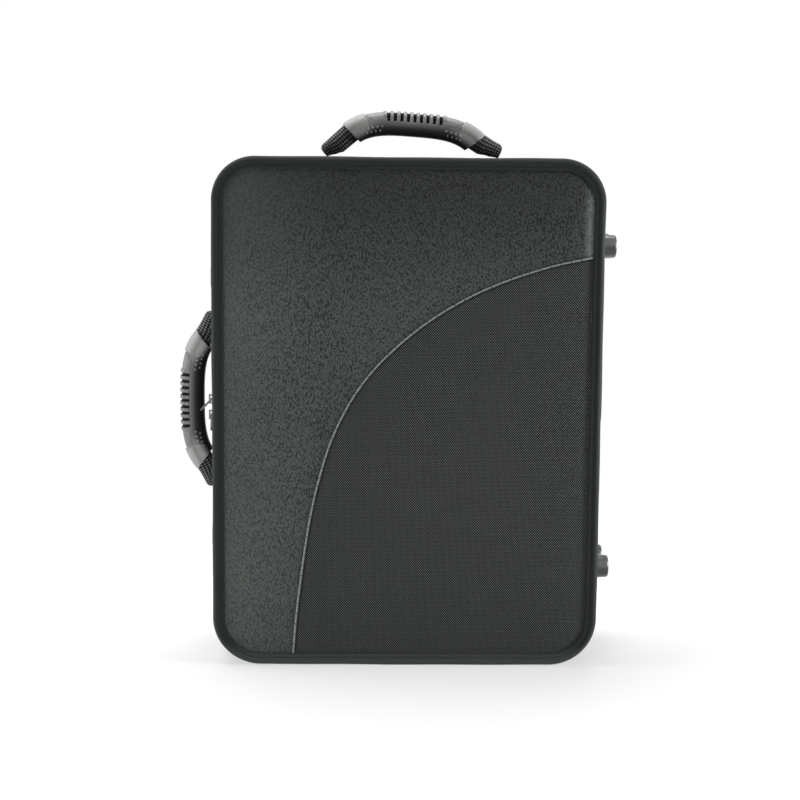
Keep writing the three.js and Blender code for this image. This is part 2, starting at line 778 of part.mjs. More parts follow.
function baseBody() {
  const base = new THREE.Group();
  const rimFront = splitY + 2 * seat;
  const shell = rimRing(rectangle(shellOuter, shellInner, rimFront, backBoardInnerY - seat));
  const cover = rimRing(rectangle(bindingProud, coverInner, rimFront, backRimY - panelThickness - seat));
  const holes = screwHoles();
  base.add(
    piece('base_shell', cut(shell, ...holes), 'board'),
    piece('base_back_board', slab(shellOuter, backBoardInnerY, backBoardY), 'board'),
    piece('base_back_cover', paddedPanel(backRimY, backCrown, 1, 0), 'nylon'),
    piece('base_side_cover', cut(cover, ...holes), 'nylon'),
    piece('base_binding', binding(backRimY, 1), 'binding'),
    piece('base_lining', rimRing(rectangle(liningOuter, liningInner, rimFront, bedBackY)), 'plush'),
    piece('zipper_teeth_base', teeth(1), 'webbing'),
    piece('zipper_tape_base', zipTape(1), 'webbing'),
    piece('hinge_strip_base', hingeStrip(1), 'webbing'),
  );
  footPlaces.forEach(([y, z], i) => {
    const rubber = piece(`foot_${i + 1}`, foot(), 'gloss');
    const screw = piece(`foot_screw_${i + 1}`, footScrew(), 'metal');
    rubber.position.set(wallX + seat, y, z);
    screw.position.copy(rubber.position);
    base.add(rubber, screw);
  });
  compartments(base);
  base.add(ringSet('upper', middleHeight + ringHalfSpan), ringSet('lower', middleHeight - ringHalfSpan));
  base.add(sliderSet('upper', 1, upperPullDroop), sliderSet('lower', -1, lowerPullDroop));
  return base;
}

// A flat pocket on the lid's lining, open at its top edge
function documentPocket(liningY) {
  const wide = pocketWidth / 2;
  const low = middleHeight - pocketHeight / 2;
  const high = low + pocketHeight;
  const y0 = liningY + seat;
  const body = block(-wide, wide, y0, y0 + pocketDepth, low, high);
  const inside = block(
    -wide + pocketEdge, wide - pocketEdge, y0 - overrun, y0 + pocketDepth - pocketSheet, low + pocketEdge,
    high + overrun,
  );
  return cut(body, inside);
}

function lidBody() {
  const lid = new THREE.Group();
  const rimBack = splitY - 2 * seat;
  const liningY = lidBoardInnerY + seat + lidLiningThickness;
  const inner = shellInner + seat;
  const lining = [
    rim(inner, lidBoardInnerY + seat), rim(inner, rimBack), rim(inner + liningThickness, rimBack),
    rim(inner + liningThickness, liningY),
  ];
  lid.add(
    piece('lid_shell', rimRing(rectangle(shellOuter, shellInner, lidBoardInnerY + seat, rimBack)), 'board'),
    piece('lid_board', slab(shellOuter, lidBoardY, lidBoardInnerY), 'board'),
    piece('lid_side_cover', rimRing(rectangle(bindingProud, coverInner, lidBoardY, rimBack)), 'nylon'),
    piece('leather_panel', leatherPanel(), 'leather'),
    piece('nylon_panel', nylonPanel(), 'nylon'),
    piece('lid_binding', binding(lidRimY, -1), 'binding'),
    piece('lid_lining', skin(lining), 'plush'),
    piece('document_pocket', documentPocket(liningY), 'nylon'),
    piece('zipper_teeth_lid', teeth(-1), 'webbing'),
    piece('zipper_tape_lid', zipTape(-1), 'webbing'),
    piece('hinge_strip_lid', hingeStrip(-1), 'webbing'),
  );
  return lid;
}

const clarinetCase = new THREE.Group();
clarinetCase.add(baseBody(), lidBody(), topHandle(), sideHandle());

// The handle stands out further than the feet, so the case moves over by half the difference
const handleEdge = wallX + sideHandleReach;
const footEdgeX = wallX + seat + footHeight;
clarinetCase.position.x = (handleEdge - footEdgeX) / 2;

export default clarinetCase;
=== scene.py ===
import math

import bpy
import numpy as np
from mathutils import Matrix, Vector
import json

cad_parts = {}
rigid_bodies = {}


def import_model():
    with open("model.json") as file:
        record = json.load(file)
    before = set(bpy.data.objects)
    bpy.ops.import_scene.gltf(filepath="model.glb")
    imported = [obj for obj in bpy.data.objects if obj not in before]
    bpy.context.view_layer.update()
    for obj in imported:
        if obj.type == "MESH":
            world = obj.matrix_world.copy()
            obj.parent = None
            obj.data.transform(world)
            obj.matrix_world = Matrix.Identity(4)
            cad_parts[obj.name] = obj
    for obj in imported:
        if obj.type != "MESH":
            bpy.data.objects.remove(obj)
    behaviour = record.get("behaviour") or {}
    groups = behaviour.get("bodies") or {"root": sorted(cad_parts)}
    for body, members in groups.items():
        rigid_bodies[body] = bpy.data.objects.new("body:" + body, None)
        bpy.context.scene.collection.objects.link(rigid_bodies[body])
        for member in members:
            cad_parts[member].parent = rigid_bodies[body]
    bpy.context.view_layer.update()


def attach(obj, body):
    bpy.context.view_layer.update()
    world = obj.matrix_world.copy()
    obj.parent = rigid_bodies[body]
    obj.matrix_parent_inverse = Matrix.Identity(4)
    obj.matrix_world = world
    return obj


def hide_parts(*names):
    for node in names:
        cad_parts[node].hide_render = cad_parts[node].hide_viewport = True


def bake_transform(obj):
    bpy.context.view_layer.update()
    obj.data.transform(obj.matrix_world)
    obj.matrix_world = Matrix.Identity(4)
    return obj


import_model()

# The case in millimetres, in its own frame: X 0 is its middle, Y away from the lid's face, Z up
case = dict(
    width=304, height=400, topCorner=34, bottomCorner=38, splitY=-21, frontRim=-53.4, backRim=54.6,
    shift=8.85,  # from this frame's X to the row's
)


# Meshes

def quadsOf(rows, cols, wrapRows=False, wrapCols=False):
    # cell (i, j) joins point i, j with its neighbours in the next row and column
    i = np.arange(rows if wrapRows else rows - 1)[:, None]
    j = np.arange(cols if wrapCols else cols - 1)[None, :]
    i2, j2 = (i + 1) % rows, (j + 1) % cols
    corners = [i * cols + j, i * cols + j2, i2 * cols + j2, i2 * cols + j]
    return np.stack(corners, -1).reshape(-1, 4)


def tube(rings, loop=False, along=None, around=None):
    # rings is rows by columns by 3: each row is a closed loop, and the rows join up or end in a point
    rows, cols = rings.shape[:2]
    points = rings.reshape(-1, 3)
    quads = quadsOf(rows, cols, loop, True)
    along = np.arange(rows + 1.0) if along is None else along
    around = np.arange(cols + 1.0) if around is None else around
    i = np.arange(rows if loop else rows - 1)[:, None]
    j = np.arange(cols)[None, :]
    one = np.ones_like(i * j, float)
    uvs = np.stack([np.stack([along[i + di] * one, around[j + dj] * one], -1)
                    for di, dj in ((0, 0), (0, 1), (1, 1), (1, 0))], 2).reshape(-1, 2)
    tris = np.zeros((0, 3), int)
    if not loop:
        tips = np.array([rings[0].mean(0), rings[-1].mean(0)])
        points = np.vstack([points, tips])
        j, j2 = np.arange(cols), (np.arange(cols) + 1) % cols
        last = (rows - 1) * cols
        start = np.stack([j * 0 + rows * cols, j2, j], -1)
        end = np.stack([j * 0 + rows * cols + 1, last + j, last + j2], -1)
        tris = np.vstack([start, end])
        middle = around[:-1] * 0.5 + around[1:] * 0.5
        fans = []
        for row, side in ((along[0], -1), (along[rows - 1], 1)):
            ends = (around[1:], around[:-1]) if side < 0 else (around[:-1], around[1:])
            fans.append(np.stack([
                np.stack([middle * 0 + row + side * 1e-3, middle], -1),
                np.stack([middle * 0 + row, ends[0]], -1), np.stack([middle * 0 + row, ends[1]], -1),
            ], 1).reshape(-1, 2))
        uvs = np.vstack([uvs, *fans])
    return points, quads, tris, uvs


def outward(shape):
    # a closed shape with a negative volume is inside out, so its faces are turned
    points, quads, tris, uvs = shape
    three = np.vstack([quads[:, [0, 1, 2]], quads[:, [0, 2, 3]], tris])
    a, b, c = points[three[:, 0]], points[three[:, 1]], points[three[:, 2]]
    if (a * np.cross(b, c)).sum() >= 0:
        return shape
    split = len(quads) * 4
    uvs = np.vstack([uvs[:split].reshape(-1, 4, 2)[:, ::-1].reshape(-1, 2),
                     uvs[split:].reshape(-1, 3, 2)[:, ::-1].reshape(-1, 2)])
    return points, quads[:, ::-1], tris[:, ::-1], uvs


def copies(shape, moves):
    # one small shape repeated: moves is a stack of 3 by 4 placements
    points, quads, tris, uvs = outward(shape)
    count = len(moves)
    every = np.einsum("nij,pj->npi", moves[:, :, :3], points) + moves[:, None, :, 3]
    step = (np.arange(count) * len(points))[:, None, None]
    split = len(quads) * 4
    uvs = np.vstack([np.tile(part, (count, 1)) for part in (uvs[:split], uvs[split:])])
    return every.reshape(-1, 3), (quads[None] + step).reshape(-1, 4), (tris[None] + step).reshape(-1, 3), uvs


def toRow(points):
    # millimetres in the case's frame to metres in the row's frame
    return (points + np.array([case["shift"], 0, 0])) * 0.001


def addPiece(name, shapes, finish, body, nodes=(), crease=40):
    # joins shapes given in millimetres into one object in the row's frame
    points, quads, tris, quadUvs, triUvs = [], [], [], [], []
    count = 0
    for shape in shapes:
        p, q, t, uv = outward(shape)
        points.append(p)
        quads.append(q + count)
        tris.append(t + count)
        quadUvs.append(uv[:len(q) * 4])
        triUvs.append(uv[len(q) * 4:])
        count += len(p)
    points, quads, tris = np.vstack(points), np.vstack(quads), np.vstack(tris)
    mesh = bpy.data.meshes.new(name)
    mesh.vertices.add(len(points))
    mesh.vertices.foreach_set("co", toRow(points).astype(np.float32).ravel())
    corners = np.concatenate([quads.ravel(), tris.ravel()]).astype(np.int32)
    sizes = np.concatenate([np.full(len(quads), 4), np.full(len(tris), 3)])
    mesh.loops.add(len(corners))
    mesh.loops.foreach_set("vertex_index", corners)
    mesh.polygons.add(len(sizes))
    mesh.polygons.foreach_set("loop_start", np.concatenate([[0], np.cumsum(sizes)[:-1]]).astype(np.int32))
    mesh.polygons.foreach_set("use_smooth", np.ones(len(sizes), bool))
    mesh.update(calc_edges=True)
    layer = mesh.uv_layers.new(name="lengths")
    layer.data.foreach_set("uv", np.vstack(quadUvs + triUvs).astype(np.float32).ravel())
    mesh.validate()
    mesh.set_sharp_from_angle(angle=math.radians(crease))
    mesh.materials.append(finish)
    piece = bpy.data.objects.new(name, mesh)
    bpy.context.scene.collection.objects.link(piece)
    if body:
        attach(piece, body)
    if nodes:
        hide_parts(*nodes)
    return piece


def fullTurn(sides, shift=0.0):
    # even angles round a circle
    return (np.arange(sides) + shift) / sides * 2 * math.pi


def lengthsOf(line):
    # the running length at each point of a line
    return np.concatenate([[0], np.cumsum(np.linalg.norm(np.diff(line, axis=0), axis=1))])


def closedLengths(section):
    # the same round a closed section, back to its first point
    return lengthsOf(np.vstack([section, section[:1]]))


def directions(line):
    # unit vectors along a line
    step = np.gradient(line, axis=0)
    return step / np.linalg.norm(step, axis=1, keepdims=True)


def smooth(value, low, high):
    # 0 below low, 1 above high, smooth between
    t = np.clip((value - low) / (high - low), 0, 1)
    return t * t * (3 - 2 * t)


def bump(value, middle, width, power=2):
    # 1 at the middle, dying away past the width
    return np.exp(-(np.abs(value - middle) / width) ** power)


def capsule(length, width, height, sides=6, rings=4, blunt=0.6):
    # a stretched ball along X: its half width is a power of the cosine of the angle from one end to the other
    angle = np.linspace(-math.pi / 2, math.pi / 2, rings + 2)[1:-1]
    turn = fullTurn(sides)
    x = np.sin(angle) * length / 2
    r = np.cos(angle) ** blunt
    rows = np.stack([x[:, None] + turn * 0, r[:, None] * np.cos(turn) * width / 2,
                     r[:, None] * np.sin(turn) * height / 2], -1)
    return tube(rows)


def threads(size, at, along, out, **detail):
    # small threads of a given length, width and height, each lying along its own direction
    out = np.broadcast_to(np.asarray(out, float), at.shape)
    return copies(capsule(*size, **detail), placements(at, along, out))


def placements(at, along, out):
    # frames whose X runs along the thread and whose Z points out of the surface
    along = along / np.linalg.norm(along, axis=1, keepdims=True)
    side = np.cross(out, along)
    side /= np.linalg.norm(side, axis=1, keepdims=True)
    up = np.cross(along, side)
    return np.stack([along, side, up, at], -1)


# Shader wiring

class Wire:
    # wraps a socket, so that an expression on wires and numbers adds Math nodes
    def __init__(self, socket):
        self.socket = socket

    def math(self, operation, *others, flipped=False):
        values = [self, *others][::-1] if flipped else [self, *others]
        return Nodes.of(self).node("ShaderNodeMath", dict(operation=operation), values)

    def __add__(self, other):
        return self.math("ADD", other)

    def __sub__(self, other):
        return self.math("SUBTRACT", other)

    def __rsub__(self, other):
        return self.math("SUBTRACT", other, flipped=True)

    def __mul__(self, other):
        return self.math("MULTIPLY", other)

    def __pow__(self, other):
        return self.math("POWER", other)

    __radd__ = __add__
    __rmul__ = __mul__

    def sin(self):
        return self.math("SINE")

    def abs(self):
        return self.math("ABSOLUTE")

    def under(self, other):
        return self.math("MINIMUM", other)

    def over(self, other):
        return self.math("MAXIMUM", other)

    def wave(self, period):
        return (self * (2 * math.pi / period)).sin()

    def ramp(self, low, high):
        # 0 below low, 1 above high, smooth between
        values = {0: self, 1: low, 2: high, 3: 0.0, 4: 1.0}
        return Nodes.of(self).node("ShaderNodeMapRange", dict(interpolation_type="SMOOTHSTEP"), values)

    def fall(self, low, high):
        # 1 below low, 0 above high
        return 1.0 - self.ramp(low, high)

    def half(self):
        # a wave from -1 to 1 made one from 0 to 1
        return self * 0.5 + 0.5


class Nodes:
    # a node tree, with one way to add any node to it
    made = {}

    def __init__(self, tree):
        self.tree = tree
        Nodes.made[tree] = self

    @staticmethod
    def of(wire):
        return Nodes.made[wire.socket.id_data]

    def put(self, node, values):
        # a wire is linked, a number or a colour becomes the socket's value
        pairs = values.items() if isinstance(values, dict) else enumerate(values)
        for key, value in pairs:
            if isinstance(value, Wire):
                self.tree.links.new(value.socket, node.inputs[key])
            else:
                node.inputs[key].default_value = value

    def node(self, kind, settings=(), values=(), out=0):
        # the settings first, then the values or wires of the sockets
        node = self.tree.nodes.new(kind)
        for key, value in dict(settings).items():
            setattr(node, key, value)
        self.put(node, values)
        return Wire(node.outputs[out])


class Finish(Nodes):
    # a material, with the patterns that several finishes use
    sockets = dict(
        specular="Specular IOR Level", sheen="Sheen Weight", sheenRoughness="Sheen Roughness", ior="IOR",
        metallic="Metallic", coat="Coat Weight", coatRoughness="Coat Roughness", roughness="Roughness",
    )

    def __init__(self, name, **fixed):
        self.material = bpy.data.materials.new(name)
        self.material.use_nodes = True
        super().__init__(self.material.node_tree)
        self.shader = self.tree.nodes["Principled BSDF"]
        self.put(self.shader, {self.sockets[key]: value for key, value in fixed.items()})

    def place(self):
        return self.node("ShaderNodeTexCoord", out="Object")

    def lengths(self):
        # the piece's own UV map, whose unit is a millimetre
        return self.node("ShaderNodeUVMap", dict(uv_map="lengths"))

    def parts(self, vector):
        split = self.node("ShaderNodeSeparateXYZ", (), [vector])
        return [Wire(output) for output in split.socket.node.outputs]

    def scaled(self, vector, by):
        return self.node("ShaderNodeVectorMath", dict(operation="MULTIPLY"), [vector, by])

    def noise(self, vector, scale, detail=2.0, roughness=0.5):
        return self.node("ShaderNodeTexNoise", (), {
            "Vector": vector, "Scale": scale, "Detail": detail, "Roughness": roughness})

    def roundCells(self, vector, scale, smoothness):
        return self.node("ShaderNodeTexVoronoi", dict(feature="SMOOTH_F1"), {
            "Vector": vector, "Scale": scale, "Smoothness": smoothness})

    def blend(self, amount, first, second):
        # a colour mix: sockets 0, 6 and 7 are the factor and the two colours
        return self.node("ShaderNodeMix", dict(data_type="RGBA", clamp_factor=True),
                         {0: amount, 6: first, 7: second}, out=2)

    def surface(self, colour, roughness):
        self.put(self.shader, {"Base Color": colour, "Roughness": roughness})

    def relief(self, height, distance, strength=1.0):
        normal = self.node("ShaderNodeBump", (), {"Height": height, "Distance": distance, "Strength": strength})
        self.put(self.shader, {"Normal": normal})


def shade(red, green, blue):
    # an sRGB colour from 0 to 255, made linear
    shares = (red / 255, green / 255, blue / 255)
    return tuple(v / 12.92 if v <= 0.04045 else ((v + 0.055) / 1.055) ** 2.4 for v in shares) + (1.0,)


# Outline of the case: straight runs and corner arcs by turns, from the middle of the right wall upwards

right, top, middleHigh = case["width"] / 2, case["height"], case["height"] / 2
topCorner, footCorner = case["topCorner"], case["bottomCorner"]
straights = [
    # start X and Z, and the heading
    (right, middleHigh, 0, 1), (right - topCorner, top, -1, 0), (-right, top - topCorner, 0, -1),
    (footCorner - right, 0, 1, 0), (right, footCorner, 0, 1),
]
arcs = [
    # centre, radius and first angle
    (right - topCorner, top - topCorner, topCorner, 0), (topCorner - right, top - topCorner, topCorner, 90),
    (footCorner - right, footCorner, footCorner, 180), (right - footCorner, footCorner, footCorner, 270),
]
runLengths = [
    top - topCorner - middleHigh, topCorner * math.pi / 2, 2 * (right - topCorner), topCorner * math.pi / 2,
    top - topCorner - footCorner, footCorner * math.pi / 2, 2 * (right - footCorner), footCorner * math.pi / 2,
    middleHigh - footCorner,
]
runStarts = np.concatenate([[0], np.cumsum(runLengths)])
rimLength = runStarts[-1]


def rimAt(s, inset):
    # the point and outward direction at a length along the outline; inset draws it in
    s = np.mod(np.asarray(s, float), rimLength)
    s, inset = np.broadcast_arrays(s, np.asarray(inset, float))
    run = np.clip(np.searchsorted(runStarts, s, side="right") - 1, 0, len(runLengths) - 1)
    t = s - runStarts[run]
    x, z, nx, nz = (np.zeros(s.shape) for _ in range(4))
    for k, (x0, z0, dx, dz) in enumerate(straights):
        on = run == 2 * k
        x[on], z[on] = (x0 + dx * t)[on], (z0 + dz * t)[on]
        nx[on], nz[on] = dz, -dx
    for k, (cx, cz, radius, first) in enumerate(arcs):
        on = run == 2 * k + 1
        angle = math.radians(first) + t / radius
        x[on], z[on] = (cx + radius * np.cos(angle))[on], (cz + radius * np.sin(angle))[on]
        nx[on], nz[on] = np.cos(angle)[on], np.sin(angle)[on]
    return x - nx * inset, z - nz * inset, nx, nz


def depthInside(x, z):
    # how far a point is inside the rounded outline
    radius = np.where(z > middleHigh, topCorner, footCorner)
    qx = np.abs(x) - (right - radius)
    qz = np.abs(z - middleHigh) - (middleHigh - radius)
    away = np.hypot(np.maximum(qx, 0), np.maximum(qz, 0)) + np.minimum(np.maximum(qx, qz), 0)
    return radius - away


def stations(step, cornerStep):
    # lengths along the outline, closer together in the corners
    pieces = []
    for k, length in enumerate(runLengths):
        count = max(2, int(round(length / (cornerStep if k % 2 else step))))
        pieces.append(runStarts[k] + np.arange(count) * length / count)
    return np.concatenate(pieces)


def rimSweep(section, s, loop=True, lift=None):
    # a closed section of (inset, y) corners carried round the outline; lift moves it out and along Y
    section = np.asarray(section, float)
    inset, y = section[None, :, 0], section[None, :, 1]
    s = s[:, None]
    if lift is not None:
        out, back = lift(s, section)
        inset, y = inset - out, y + back
    x, z, _, _ = rimAt(s, inset)
    rings = np.stack([x, np.broadcast_to(y, x.shape), z], -1)
    along = np.append(s[:, 0], rimLength if loop else s[-1, 0])
    return tube(rings, loop, along, closedLengths(section))


def rimThreads(s, inset, y, size, way, **detail):
    # threads along the outline, facing out along Y when way is 1 or -1, and out of the wall when it is 0
    x, z, nx, nz = rimAt(s, inset)
    at = np.stack([x, np.full_like(x, y), z], -1)
    out = np.stack([nx * (way == 0), nx * 0 + way, nz * (way == 0)], -1)
    return threads(size, at, np.stack([-nz, nx * 0, nx], -1), out, **detail)


# Finishes shared by several pieces; those of the grips and the feet stand beside them

weave = dict(
    # millimetres between threads, across and up, and where one starts and ends lying over the other
    across=0.92, up=1.05, over=(0.06, 0.8),
    # noise scales for each metre, the dark between the threads and the tone of slow stains
    patches=9.0, flecks=620.0, dark=shade(4, 5, 4), stain=shade(34, 37, 35), stained=0.15, height=0.00045,
)


def wovenNylon(name, bright, alongUv):
    # plain weave: where the two sines agree the weft lies on top, elsewhere the warp
    finish = Finish(name, specular=0.1, sheen=0.05, sheenRoughness=0.6)
    x, y, z = finish.parts(finish.lengths() if alongUv else finish.scaled(finish.place(), (1000, 1000, 1000)))
    u, v = (x, y) if alongUv else (x, z)
    warp, weft = u.wave(weave["across"] * 2), v.wave(weave["up"] * 2)
    over = (warp * weft).ramp(*weave["over"])
    patches = finish.noise(finish.place(), weave["patches"], 3.0)
    flecks = finish.noise(finish.place(), weave["flecks"], 1.0)
    tone = (over * (0.65 + flecks * 0.7)).under(1.0)
    colour = finish.blend(tone, weave["dark"], bright)
    finish.surface(finish.blend(patches.ramp(0.35, 0.75) * weave["stained"], colour, weave["stain"]),
                   0.72 - over * 0.18 + patches * 0.06)
    finish.relief(over * 0.8 + warp.abs() * weft.abs() * 0.4, weave["height"], 0.7)
    return finish.material


hide = dict(
    # noise scales for each metre, and how far the first two patterns are drawn out upwards
    cells=1150.0, cellDraw=(1.0, 1.0, 0.45), streaks=760.0, streakDraw=(1.0, 1.0, 0.4), fine=1700.0, clouds=11.0,
    # the grain's dark and pale tones low and high on the case, the high ones darker as painted shade towards the
    # top, and the heights in metres of that change
    low=(shade(20, 24, 21), shade(61, 65, 62)), high=(shade(6, 9, 7), shade(33, 37, 34)), shadeChange=(0.27, 0.385),
    # painted highlight in a paler tone: at the left between these X, stronger under the foot's heights, and along
    # a strip on the right edge
    wearAndHighlight=shade(98, 102, 98), left=(-0.13, -0.04), leftHighlightAmount=0.2, foot=(0.06, 0.25),
    right=(0.1425, 0.1515), rightLow=(0.295, 0.325), rightHigh=(0.365, 0.385), rightHighlightAmount=0.85,
    pores=(0.22, 0.74), height=0.0006,
)


def pebbledLeather(name):
    # small rounded cells, longer up than across, with short streaks and slow clouds; painted shade darkens it
    # towards the top, and a painted highlight pales the left, more low down, and a strip at the right edge
    finish = Finish(name, specular=0.2, ior=1.45)
    spot = finish.place()
    pebbles = finish.roundCells(finish.scaled(spot, hide["cellDraw"]), hide["cells"], 0.4)
    fine = finish.noise(spot, hide["fine"], 2.0, 0.6)
    streaks = finish.noise(finish.scaled(spot, hide["streakDraw"]), hide["streaks"], 2.0, 0.5)
    clouds = finish.noise(spot, hide["clouds"], 2.0)
    x, _, z = finish.parts(spot)
    valley = pebbles.ramp(0.2, 0.8)
    grain = ((1.0 - valley) * 0.5 + streaks * 0.35 + fine * 0.15).ramp(*hide["pores"])
    low, high = finish.blend(grain, *hide["low"]), finish.blend(grain, *hide["high"])
    # painted shade: the darker high tones take over towards the top
    colour = finish.blend(z.ramp(*hide["shadeChange"]) * 0.9, low, high)
    # painted highlight at the left, varied by the clouds, and at the right edge
    left = x.fall(*hide["left"]) * (clouds.ramp(0.05, 0.95) + z.fall(*hide["foot"]) * 0.5).under(1.0)
    right = x.ramp(*hide["right"]) * z.ramp(*hide["rightLow"]) * z.fall(*hide["rightHigh"]) * grain.half()
    wearAndHighlight = (left * hide["leftHighlightAmount"]).over(right * hide["rightHighlightAmount"])
    finish.surface(finish.blend(wearAndHighlight, colour, hide["wearAndHighlight"]), 0.40 + valley * 0.14 + clouds * 0.08)
    finish.relief((1.0 - valley) * 0.7 + streaks * 0.8 + fine * 0.2, hide["height"], 0.6)
    return finish.material


tapes = dict(
    # millimetres: the twill's pitch, and the rise and fall of the painted highlight on the rolled edge, measured
    # round the section
    twill=1.8, rollFrom=(6.6, 10.0), rollTo=(14.0, 16.0),
    # metres: the right side's stretch where that painted highlight is stronger, across and up, and the height of
    # the painted pale light along the foot
    right=(0.12, 0.16), rightLow=(0.12, 0.22), rightHigh=(0.33, 0.37), foot=(0.004, 0.02),
    # the tones of the painted highlight and of the painted pale light at the foot, the wear noise's scale and the
    # relief's height
    wearAndHighlight=shade(76, 80, 77), dustAndPaintedLight=shade(58, 62, 59), wear=55.0, height=0.00025,
)


def tapeFinish(name, dark, light, ribs=0.7, edging=False):
    # a woven tape: ribs across its length and a twill over a soft unevenness; the edging also gets a painted
    # highlight on its rolled edge, stronger on the right, and painted pale light along its foot
    finish = Finish(name, specular=0.1, sheen=0.06, sheenRoughness=0.5)
    u, v, _ = finish.parts(finish.lengths())
    rib = u.wave(ribs).half()
    cross = (v.wave(ribs * 1.3) * u.wave(ribs * 2)).half()
    wear = finish.noise(finish.place(), tapes["wear"], 3.0)
    twill = (u + v * 1.2).wave(tapes["twill"]).half()
    colour = finish.blend(rib * 0.2 + twill * 0.35 + cross * 0.15 + wear * 0.3, dark, light)
    if edging:
        x, _, z = finish.parts(finish.place())
        # painted highlight on the rolled edge, stronger on the right side, then painted pale light along the foot
        roll = v.ramp(*tapes["rollFrom"]) * v.fall(*tapes["rollTo"])
        right = x.ramp(*tapes["right"]) * z.ramp(*tapes["rightLow"]) * z.fall(*tapes["rightHigh"])
        colour = finish.blend(roll * (right * 0.3 + 0.3), colour, tapes["wearAndHighlight"])
        colour = finish.blend(z.fall(*tapes["foot"]) * 0.7, colour, tapes["dustAndPaintedLight"])
    finish.surface(colour, 0.66 + wear * 0.2)
    finish.relief(rib * 0.5 + cross * 0.5, tapes["height"], 0.6)
    return finish.material


def threadFinish(name, dark, light, twist=(2.0, 3.0)):
    # twisted thread: slanted bands along each stitch
    finish = Finish(name, specular=0.15, sheen=0.1)
    u, v, _ = finish.parts(finish.lengths())
    band = (u.wave(twist[0]) + v.wave(twist[1])) * 0.25 + 0.5
    finish.surface(finish.blend(band, dark, light), 0.6 + band * 0.15)
    return finish.material


plating = dict(smears=160.0, smearDraw=(1.0, 3.0, 1.0), wearAndHighlight=shade(110, 110, 108), pits=900.0, height=0.00004)


def platedMetal(name, tone, rough):
    # plated metal with faint smears and rubbing
    finish = Finish(name, metallic=1.0)
    spot = finish.place()
    smear = finish.noise(finish.scaled(spot, plating["smearDraw"]), plating["smears"], 4.0)
    finish.surface(finish.blend(smear.ramp(0.3, 0.8) * 0.3, tone, plating["wearAndHighlight"]), rough + smear * 0.16)
    finish.relief(finish.noise(spot, plating["pits"], 2.0), plating["height"], 0.3)
    return finish.material


pile = dict(fine=1300.0, clumps=150.0, brushed=22.0, brushDraw=(1.0, 0.5, 1.6), height=0.0006)


def plushPile(name, dark, light):
    # short velvet pile: soft clumps, brushed patches and a strong sheen
    finish = Finish(name, sheen=0.7, sheenRoughness=0.35, specular=0.2)
    spot = finish.place()
    fine = finish.noise(spot, pile["fine"], 2.0, 0.7)
    clump = finish.noise(spot, pile["clumps"], 3.0, 0.6)
    brushed = finish.noise(finish.scaled(spot, pile["brushDraw"]), pile["brushed"], 2.0)
    finish.surface(finish.blend(fine * 0.4 + clump * 0.35 + brushed * 0.25, dark, light), 0.85 + fine * 0.1)
    finish.relief(fine * 0.5 + clump, pile["height"], 0.7)
    return finish.material


fibreBoard = dict(fibres=240.0, fibreDraw=(1.0, 1.0, 6.0), specks=800.0, height=0.0002)


def pressedBoard(name, dark, light):
    # stained fibre board: speckled dark brown with long fibres
    finish = Finish(name)
    spot = finish.place()
    fibres = finish.noise(finish.scaled(spot, fibreBoard["fibreDraw"]), fibreBoard["fibres"], 3.0, 0.7)
    specks = finish.noise(spot, fibreBoard["specks"], 2.0)
    finish.surface(finish.blend(fibres * 0.6 + specks * 0.4, dark, light), 0.8 + specks * 0.15)
    finish.relief(fibres, fibreBoard["height"], 0.5)
    return finish.material


def coilFinish(name, dark, light, wear=900.0):
    # nylon coil of the zip: semi-gloss black with lighter rubbed crowns
    finish = Finish(name, specular=0.5)
    worn = finish.noise(finish.place(), wear, 2.0)
    finish.surface(finish.blend(worn, dark, light), 0.34 + worn * 0.2)
    return finish.material


finishes = dict(
    leather=pebbledLeather("pebbledLeather"),
    panelNylon=wovenNylon("panelNylon", shade(94, 99, 95), False),
    wallNylon=wovenNylon("wallNylon", shade(96, 101, 97), True),
    binding=tapeFinish("bindingTape", shade(12, 15, 13), shade(38, 42, 39), edging=True),
    tape=tapeFinish("zipTape", shade(24, 26, 26), shade(50, 53, 52), 0.9),
    webbing=tapeFinish("webbing", shade(24, 26, 26), shade(62, 65, 64), 1.3),
    darkThread=threadFinish("darkThread", shade(14, 16, 15), shade(36, 39, 37)),
    lightThread=threadFinish("lightThread", shade(86, 91, 87), shade(140, 145, 141)),
    metal=platedMetal("darkMetal", shade(78, 78, 77), 0.24),
    brightMetal=platedMetal("brightMetal", shade(66, 66, 65), 0.3),
    plush=plushPile("plushPile", shade(22, 24, 30), shade(58, 62, 72)),
    board=pressedBoard("pressedBoard", shade(34, 30, 25), shade(70, 62, 50)),
    coil=coilFinish("zipCoil", shade(24, 26, 26), shade(52, 55, 54)),
)


# Lid panels

